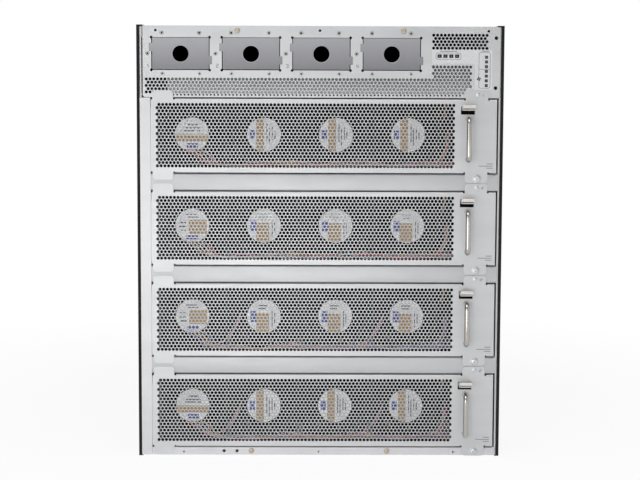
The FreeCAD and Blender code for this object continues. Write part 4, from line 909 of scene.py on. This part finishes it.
def upper_panel_sheet():
    """The upper panel: corners cut below, and holes for bays, vents, lamps and screws."""
    cut = 2.0
    left = PANEL_LEFT + SEAM
    outline = [(left + cut, PANEL_FOOT), (PANEL_RIGHT - cut, PANEL_FOOT), (PANEL_RIGHT, PANEL_FOOT + cut),
               (PANEL_RIGHT, PANEL_TOP), (left, PANEL_TOP), (left, PANEL_FOOT + cut)]
    holes = [bay_loop(x, 0.0, True) for x in BAY_X] + lamp_windows(0.1)
    rounds = ((vent_rows(), 1.85, 12, 15), (LOW_VENTS, 1.2, 10), (HIGH_SCREWS + LOW_SCREWS, 2.4, 20),
              ([(-196.1, 514.0), (-0.7, 514.0), (200.0, 514.0)], 1.6, 12),
              ([(209.2, 506.0), (209.0, 446.8)], 2.2, 16))
    for spots, *size in rounds:
        holes += list(circle(*np.transpose(spots), *size))
    return flat_sheet(outline, holes, FRAME_Y, FRAME_GAUGE)


panel_fold = block(LEFT, RIGHT, FRAME_Y + FRAME_GAUGE, FRAME_Y + RAIL_DEPTH,
                   PANEL_FOOT, PANEL_FOOT + FRAME_GAUGE)
piece("panel_sheet", join([upper_panel_sheet(), panel_fold]), "chassis", PANEL,
      "upper_panel")
# Painted shadow: a black strip behind the gap at the panel's left edge, and black plugs at the bottom of
# the lowest vents, where shade falls.
seam_shadow_strip = block(PANEL_LEFT, PANEL_LEFT + SEAM + 0.4, FRAME_Y + 0.7, FRAME_Y + 1.4,
                   PANEL_FOOT + 0.5, PANEL_TOP)
vent_shadow_plugs = turned([(1.15, -1.4), (1.15, -0.7), (0.01, -0.7)], LOW_VENTS, FRAME_Y, 10)
piece("panel_painted_shadows", join([seam_shadow_strip, vent_shadow_plugs]), "chassis", CHIP_AND_SHADE_BLACK)
top_ends = [block(x0, x1, FRAME_Y - 0.5, FRAME_Y + 3.0, PANEL_TOP - 0.8, PANEL_TOP + 1.0)
            for x0, x1 in ((-218.9, PANEL_LEFT), (PANEL_RIGHT - 3.0, 218.9))]
piece("side_panel_tops", join(top_ends), "chassis", BLACK_PAINT)

plate_front = FRAME_Y + 0.8
plates = [flat_sheet(bay_loop(x, 1.0, False), [circle(x, BAY_Z, 10.2, 48)[0]], plate_front, FRAME_GAUGE)
          for x in BAY_X]
piece("bay_plates", join(plates), "chassis", BAY_PAINTED_SHADE, "power_bay_plates")
rim = [(10.6, -0.1), (10.6, 0.15), (10.4, 0.3), (9.8, 0.3), (9.6, 0.1), (9.6, -1.4), (10.0, -1.4)]
rims = turned(rim, [(x, BAY_Z) for x in BAY_X], plate_front, 48, closed=True)
piece("bay_hole_rims", rims, "chassis", RIM, "power_bay_plates")


# Screws on the panel and the foot rail.


def screw_head(edge, mouth):
    """A countersunk head's profile: its rim, a flat, and the driver's recess inside mouth."""
    return [(edge, -1.4), (edge, -0.15), (edge - 0.15, 0.0), (mouth + 0.15, 0.0), (mouth, -0.2),
            (mouth, -1.0), (0.01, -1.0)]


heads = join([turned(screw_head(2.1, 1.3), HIGH_SCREWS, FRAME_Y, 20),
              turned(screw_head(2.3, 1.3), LOW_SCREWS, FRAME_Y, 20)])
piece("flat_head_screws", heads, "chassis", PANEL)
# Painted shade: flat discs at the bottom of the screws' driver recesses, black in the upper screws and grey
# in the lower ones, where the recess lies in shadow.
recess = [(1.28, -1.0), (1.28, -0.6), (0.01, -0.6)]
piece("recess_shadow_discs", turned(recess, HIGH_SCREWS, FRAME_Y, 12), "chassis", CHIP_AND_SHADE_BLACK)
piece("shallow_recess_shadow_discs", turned(recess, LOW_SCREWS, FRAME_Y, 12), "chassis", LABEL_GREY_AND_RECESS_SHADE)
pan_head = [(3.3, 0), (3.3, 0.5), (3.0, 1.1), (2.4, 1.5), (1.5, 1.6), (1.3, 1.0), (0.01, 0.9)]
pan_spots = [(-98.9, PANEL_TOP - 5.6), (98.9, PANEL_TOP - 5.6), (-82.4, 5.95), (82.4, 5.95)]
piece("pan_head_screws", turned(pan_head, pan_spots, FRAME_Y), "chassis", BRONZE,
      "panel_screws")
foot_head = [(2.6, 0), (2.6, 0.8), (2.2, 1.2), (1.0, 1.3), (0.8, 0.5), (0.01, 0.4)]
piece("foot_screw", turned(foot_head, (188.1, 5.2), FRAME_Y, 20), "chassis", BRIGHT)


# Screws of the lid, the side panels and the slot covers, on the sides that the photo doesn't show.

UPWARDS = np.array([[1, 0, 0], [0, 0, 1], [0, -1, 0]])
RIGHTWARDS = np.array([[0, -1, 0], [1, 0, 0], [0, 0, 1]])
LEFTWARDS = np.array([[0, 1, 0], [-1, 0, 0], [0, 0, 1]])
LOW_HEAD = [(3.4, 0), (3.4, 0.35), (3.0, 0.7), (1.3, 0.75), (1.15, 0.2), (0.01, 0.2)]


def heads_on_side(way, spots, distance):
    """Low screw heads that stand at distance from the origin, swung round from -Y to face a side."""
    points, faces = turned(LOW_HEAD, spots, -distance, 20)
    return points @ way.T, faces


lid_top = box_mm("top_cover")[1][2]
side_face = box_mm("side_panel_right")[1][0]
cover_low, cover_high = box_mm("slot_covers")
cover_pitch = (cover_high[2] - cover_low[2] + 0.5) / 8
lid_spots = [(x, y) for x in (-206, 206) for y in np.linspace(-290, 310, 6)]
side_spots = [(y, z) for y in np.linspace(-285, 300, 5) for z in (24, 260, 498)]
cover_spots = [(x, cover_low[2] - 0.25 + cover_pitch * (k + 0.5)) for x in (-196, 196) for k in range(8)]
far_heads = join([heads_on_side(RIGHTWARDS, side_spots, side_face),
                  heads_on_side(LEFTWARDS, [(-y, z) for y, z in side_spots], side_face),
                  turned(LOW_HEAD, cover_spots, cover_high[1], 20, back=True)])
piece("cover_screws", far_heads, "chassis", BRIGHT)
piece("lid_screws", heads_on_side(UPWARDS, lid_spots, lid_top), "chassis", RIM)


# Lamps.

holders = [box_at(x, z, wide, high, FRAME_Y + 0.25, FRAME_Y + 4)
           for spots, wide, high in LAMPS for x, z in spots]
piece("lamp_holders", join(holders), "chassis", LAMP_BLACK, "status_lamps")
dome = [(0.5, 0), (0.5, 0.1), (0.35, 0.2), (0.01, 0.25)]
pipes = turned(dome, SUPPLY_LAMPS, FRAME_Y + 0.3, 12)
tells = turned([(0.8 * r, h) for r, h in dome], FAN_LAMPS, FRAME_Y + 0.3, 12)
piece("light_pipes", join([pipes, tells]), "chassis", LENS, "status_lamps")


# Printing on the panel: boxes round the lamps, a fan sign and the bays' numerals.


def frame_line(x0, x1, z0, z1, radius, wide=0.45):
    """A printed rounded rectangle, as a thin frame."""
    outer = rounded(rectangle(x0, x1, z0, z1), radius)
    inner = rounded(rectangle(x0 + wide, x1 - wide, z0 + wide, z1 - wide), radius - wide / 2)
    return flat_sheet(outer, [inner], FRAME_Y - INK_DEPTH, INK_DEPTH)


def stroke(x0, z0, x1, z1, wide=0.55):
    """A printed straight stroke from one point to another."""
    way = np.array([x1 - x0, z1 - z0], float)
    way /= np.linalg.norm(way)
    side = np.array([-way[1], way[0]]) * wide / 2
    a, b = np.array([x0, z0]) - way * wide / 2, np.array([x1, z1]) + way * wide / 2
    return plate([a - side, b - side, b + side, a + side], FRAME_Y - INK_DEPTH, INK_DEPTH)


NUMERALS = {
    1: [(0.4, 3.2, 1.2, 4.0), (1.2, 0, 1.2, 4)],
    2: [(0, 4, 2.2, 4), (2.2, 4, 2.2, 2.1), (2.2, 2.1, 0, 2.1), (0, 2.1, 0, 0), (0, 0, 2.2, 0)],
    3: [(0, 4, 2.2, 4), (2.2, 4, 2.2, 0), (0.5, 2.1, 2.2, 2.1), (0, 0, 2.2, 0)],
    4: [(0, 4, 0, 1.5), (0, 1.5, 2.4, 1.5), (1.8, 4, 1.8, 0)],
}
prints = [frame_line(137.3, 167.5, 480.5, 488.4, 2.0), frame_line(188.6, 202.5, 446.4, 489.1, 2.5),
          bar(189.0, 202.1, 468.8, 469.25, FRAME_Y), bar(142.4, 162.8, 489.9, 490.7, FRAME_Y),
          bar(191.6, 201.2, 490.2, 491.0, FRAME_Y)]
foot = 470.0
for strokes, x in zip(NUMERALS.values(), (-206.2, -123.8, -40.6, 43.1)):
    prints += [stroke(x + a, foot + b, x + c, foot + d) for a, b, c, d in strokes]
piece("panel_printing", join(prints), "chassis", INK)
sign = [(0.4, -0.5), (2.2, -1.1), (2.6, 0.3), (1.6, 1.1), (0.5, 0.6)]
blades = [plate(spun(rounded(sign, 0.25), 90 * k + 20) + (188.9, 457.6), FRAME_Y - 0.08, 0.03)
          for k in range(4)]
piece("fan_sign", join(blades), "chassis", DARK_INK)


# Pale film round the lamps: a flat L with a window for each lamp.

film_outline = rounded([(132.8, 475.6), (184.2, 475.6), (184.2, 444.6), (204.6, 444.6),
                        (204.6, 492.0), (132.8, 492.0)], 0.8)
film = flat_sheet(film_outline, lamp_windows(0.2), FRAME_Y - 0.03, 0.03)
piece("lamp_film", film, "chassis", PANEL_FILM)


# Baffle behind the panel's strip of vents, its tone painted shade that darkens towards the top.


def leaning_sheet(x0, x1, top, lean):
    """A thin sheet from just behind the panel's foot up to a height of top, leaning back by lean."""
    near, low, gauge = FRAME_Y + 1.7, 437.0, 0.4
    far = near + lean
    return along_x([(near, low), (far, top), (far + gauge, top), (near + gauge, low)], x0, x1)


baffles = join([leaning_sheet(-182.6, 131.0, 460.0, 2.9), leaning_sheet(131.0, 186.0, 474.0, 3.9)])
piece("vent_baffle", baffles, "chassis", BAFFLE_PAINTED_SHADE)


# CAD nodes that keep their own shape.

# The shell takes the brighter, painted-light copy of the plated sheet.
KEPT = {
    "chassis_shell": LIT_PLATED_SHEET, "top_cover": PANEL, "side_panel_left": BLACK_PAINT,
    "side_panel_right": BLACK_PAINT, "power_cage": BLACK_PAINT, "midplane": BOARD,
    "tray_guides": PANEL, "mid_shelf": PANEL, "front_frame": BLACK_PAINT,
    "slot_covers": GREY_PAINT, "supply_modules": GREY_PAINT,
}
for name, material in KEPT.items():
    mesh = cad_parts[name].data
    mesh.materials.clear()
    mesh.materials.append(material)


# Stage, light and camera.


def seen_rays(tree):
    """1 for rays that show the background, straight, mirrored or through glass, and 0 for light."""
    paths = add(tree, "ShaderNodeLightPath").outputs
    mirrored = add(tree, "ShaderNodeMath", {0: paths["Is Glossy Ray"], 1: paths["Is Transmission Ray"]},
                   operation="MAXIMUM")
    return add(tree, "ShaderNodeMath", {0: paths["Is Camera Ray"], 1: mirrored.outputs["Value"]},
               operation="MAXIMUM").outputs["Value"]


def floor_stage():
    """A pale floor under the chassis: white to the camera and to mirrored rays, except near the
    chassis, where it keeps a faint shadow."""
    mesh = bpy.data.meshes.new("floor")
    mesh.from_pydata([(-8, -8, 0), (8, -8, 0), (8, 8, 0), (-8, 8, 0)], [], [(0, 1, 2, 3)])
    floor = bpy.data.objects.new("floor", mesh)
    bpy.context.scene.collection.objects.link(floor)
    material, tree, shader = finish("floor_white", "#F4F4F4", 0.0, 0.9)
    place = add(tree, "ShaderNodeTexCoord").outputs["Object"]
    away = add(tree, "ShaderNodeVectorMath", {0: place}, operation="LENGTH").outputs["Value"]
    plain = between(tree, away, 0.92, 1.0, 0.4, 0.9)
    share = add(tree, "ShaderNodeMath", {0: seen_rays(tree), 1: plain}, operation="MULTIPLY")
    glow = add(tree, "ShaderNodeEmission", {"Color": (1, 1, 1, 1), "Strength": 1.0})
    mix = add(tree, "ShaderNodeMixShader", {0: share.outputs["Value"]})
    tree.links.new(shader.outputs["BSDF"], mix.inputs[1])
    tree.links.new(glow.outputs["Emission"], mix.inputs[2])
    tree.links.new(mix.outputs["Shader"], tree.nodes["Material Output"].inputs["Surface"])
    mesh.materials.append(material)


def world_light(strength):
    """White to the camera and a soft grey where it lights the chassis. Mirrored rays see a studio:
    a bright wall on the left, a dim room on the right, and dark flags at the ends."""
    world = bpy.data.worlds.new("studio")
    bpy.context.scene.world = world
    world.use_nodes = True
    tree = world.node_tree
    back = tree.nodes["Background"]
    back.inputs["Color"].default_value = (1, 1, 1, 1)
    aim = add(tree, "ShaderNodeTexCoord").outputs["Generated"]
    sideways = add(tree, "ShaderNodeSeparateXYZ", {"Vector": aim}).outputs["X"]
    ramp = add(tree, "ShaderNodeValToRGB", {"Fac": between(tree, sideways, 0.0, 1.0, -1.0, 1.0)})
    steps = ((0.0, 0.3), (0.13, 0.3), (0.25, 0.85), (0.5, 0.75), (0.58, 0.45), (0.82, 0.4), (0.93, 0.9))
    stops = ramp.color_ramp.elements
    while len(stops) < len(steps):
        stops.new(1.0)
    for stop, (place, level) in zip(stops, steps):
        stop.position = place
        stop.color = (level, level, level, 1)
    shown = between(tree, seen_rays(tree), strength, ramp.outputs["Color"], 0.0, 1.0)
    camera_ray = add(tree, "ShaderNodeLightPath").outputs["Is Camera Ray"]
    tree.links.new(between(tree, camera_ray, shown, 1.0, 0.0, 1.0), back.inputs["Strength"])


def softbox(name, place, aim, size, power):
    """A square area light at place, turned towards aim."""
    light = bpy.data.lights.new(name, "AREA")
    light.size = size
    light.energy = power
    lamp = bpy.data.objects.new(name, light)
    lamp.location = place
    lamp.rotation_euler = (Vector(aim) - Vector(place)).to_track_quat("-Z", "Y").to_euler()
    bpy.context.scene.collection.objects.link(lamp)


PHOTO_WIDTH = 640
FOCAL_PIXELS = 1658.3
CAMERA_PLACE = (-0.0180, -2.3061, 0.4664)
PITCH, YAW, ROLL = -5.821, -0.527, -0.218


def camera():
    """The photograph's viewpoint: a long lens a little below the chassis's top, tilted down."""
    lens = bpy.data.cameras.new("camera")
    lens.sensor_width = 36
    lens.lens = 36 * FOCAL_PIXELS / PHOTO_WIDTH
    lens.clip_end = 50
    view = bpy.data.objects.new("camera", lens)
    turn = (Matrix.Rotation(math.radians(YAW), 4, "Z") @ Matrix.Rotation(math.radians(PITCH), 4, "X")
            @ Matrix.Rotation(math.radians(ROLL), 4, "Y") @ Matrix.Rotation(math.radians(90), 4, "X"))
    view.matrix_world = Matrix.Translation(CAMERA_PLACE) @ turn
    bpy.context.scene.collection.objects.link(view)
    bpy.context.scene.camera = view


floor_stage()
world_light(0.4)
softbox("key", (-1.35, -2.5, 0.5), (0, -0.3, 0.15), 1.8, 16)
softbox("fill", (1.5, -2.4, 0.35), (0, -0.3, 0.2), 1.6, 2)
softbox("low", (-0.1, -1.25, 0.09), (0, -0.33, 0.0), 0.4, 2.0)
softbox("top", (0.0, -0.9, 1.95), (0, -0.33, 0.3), 0.9, 11)
camera()
bpy.context.scene.view_settings.view_transform = "Standard"
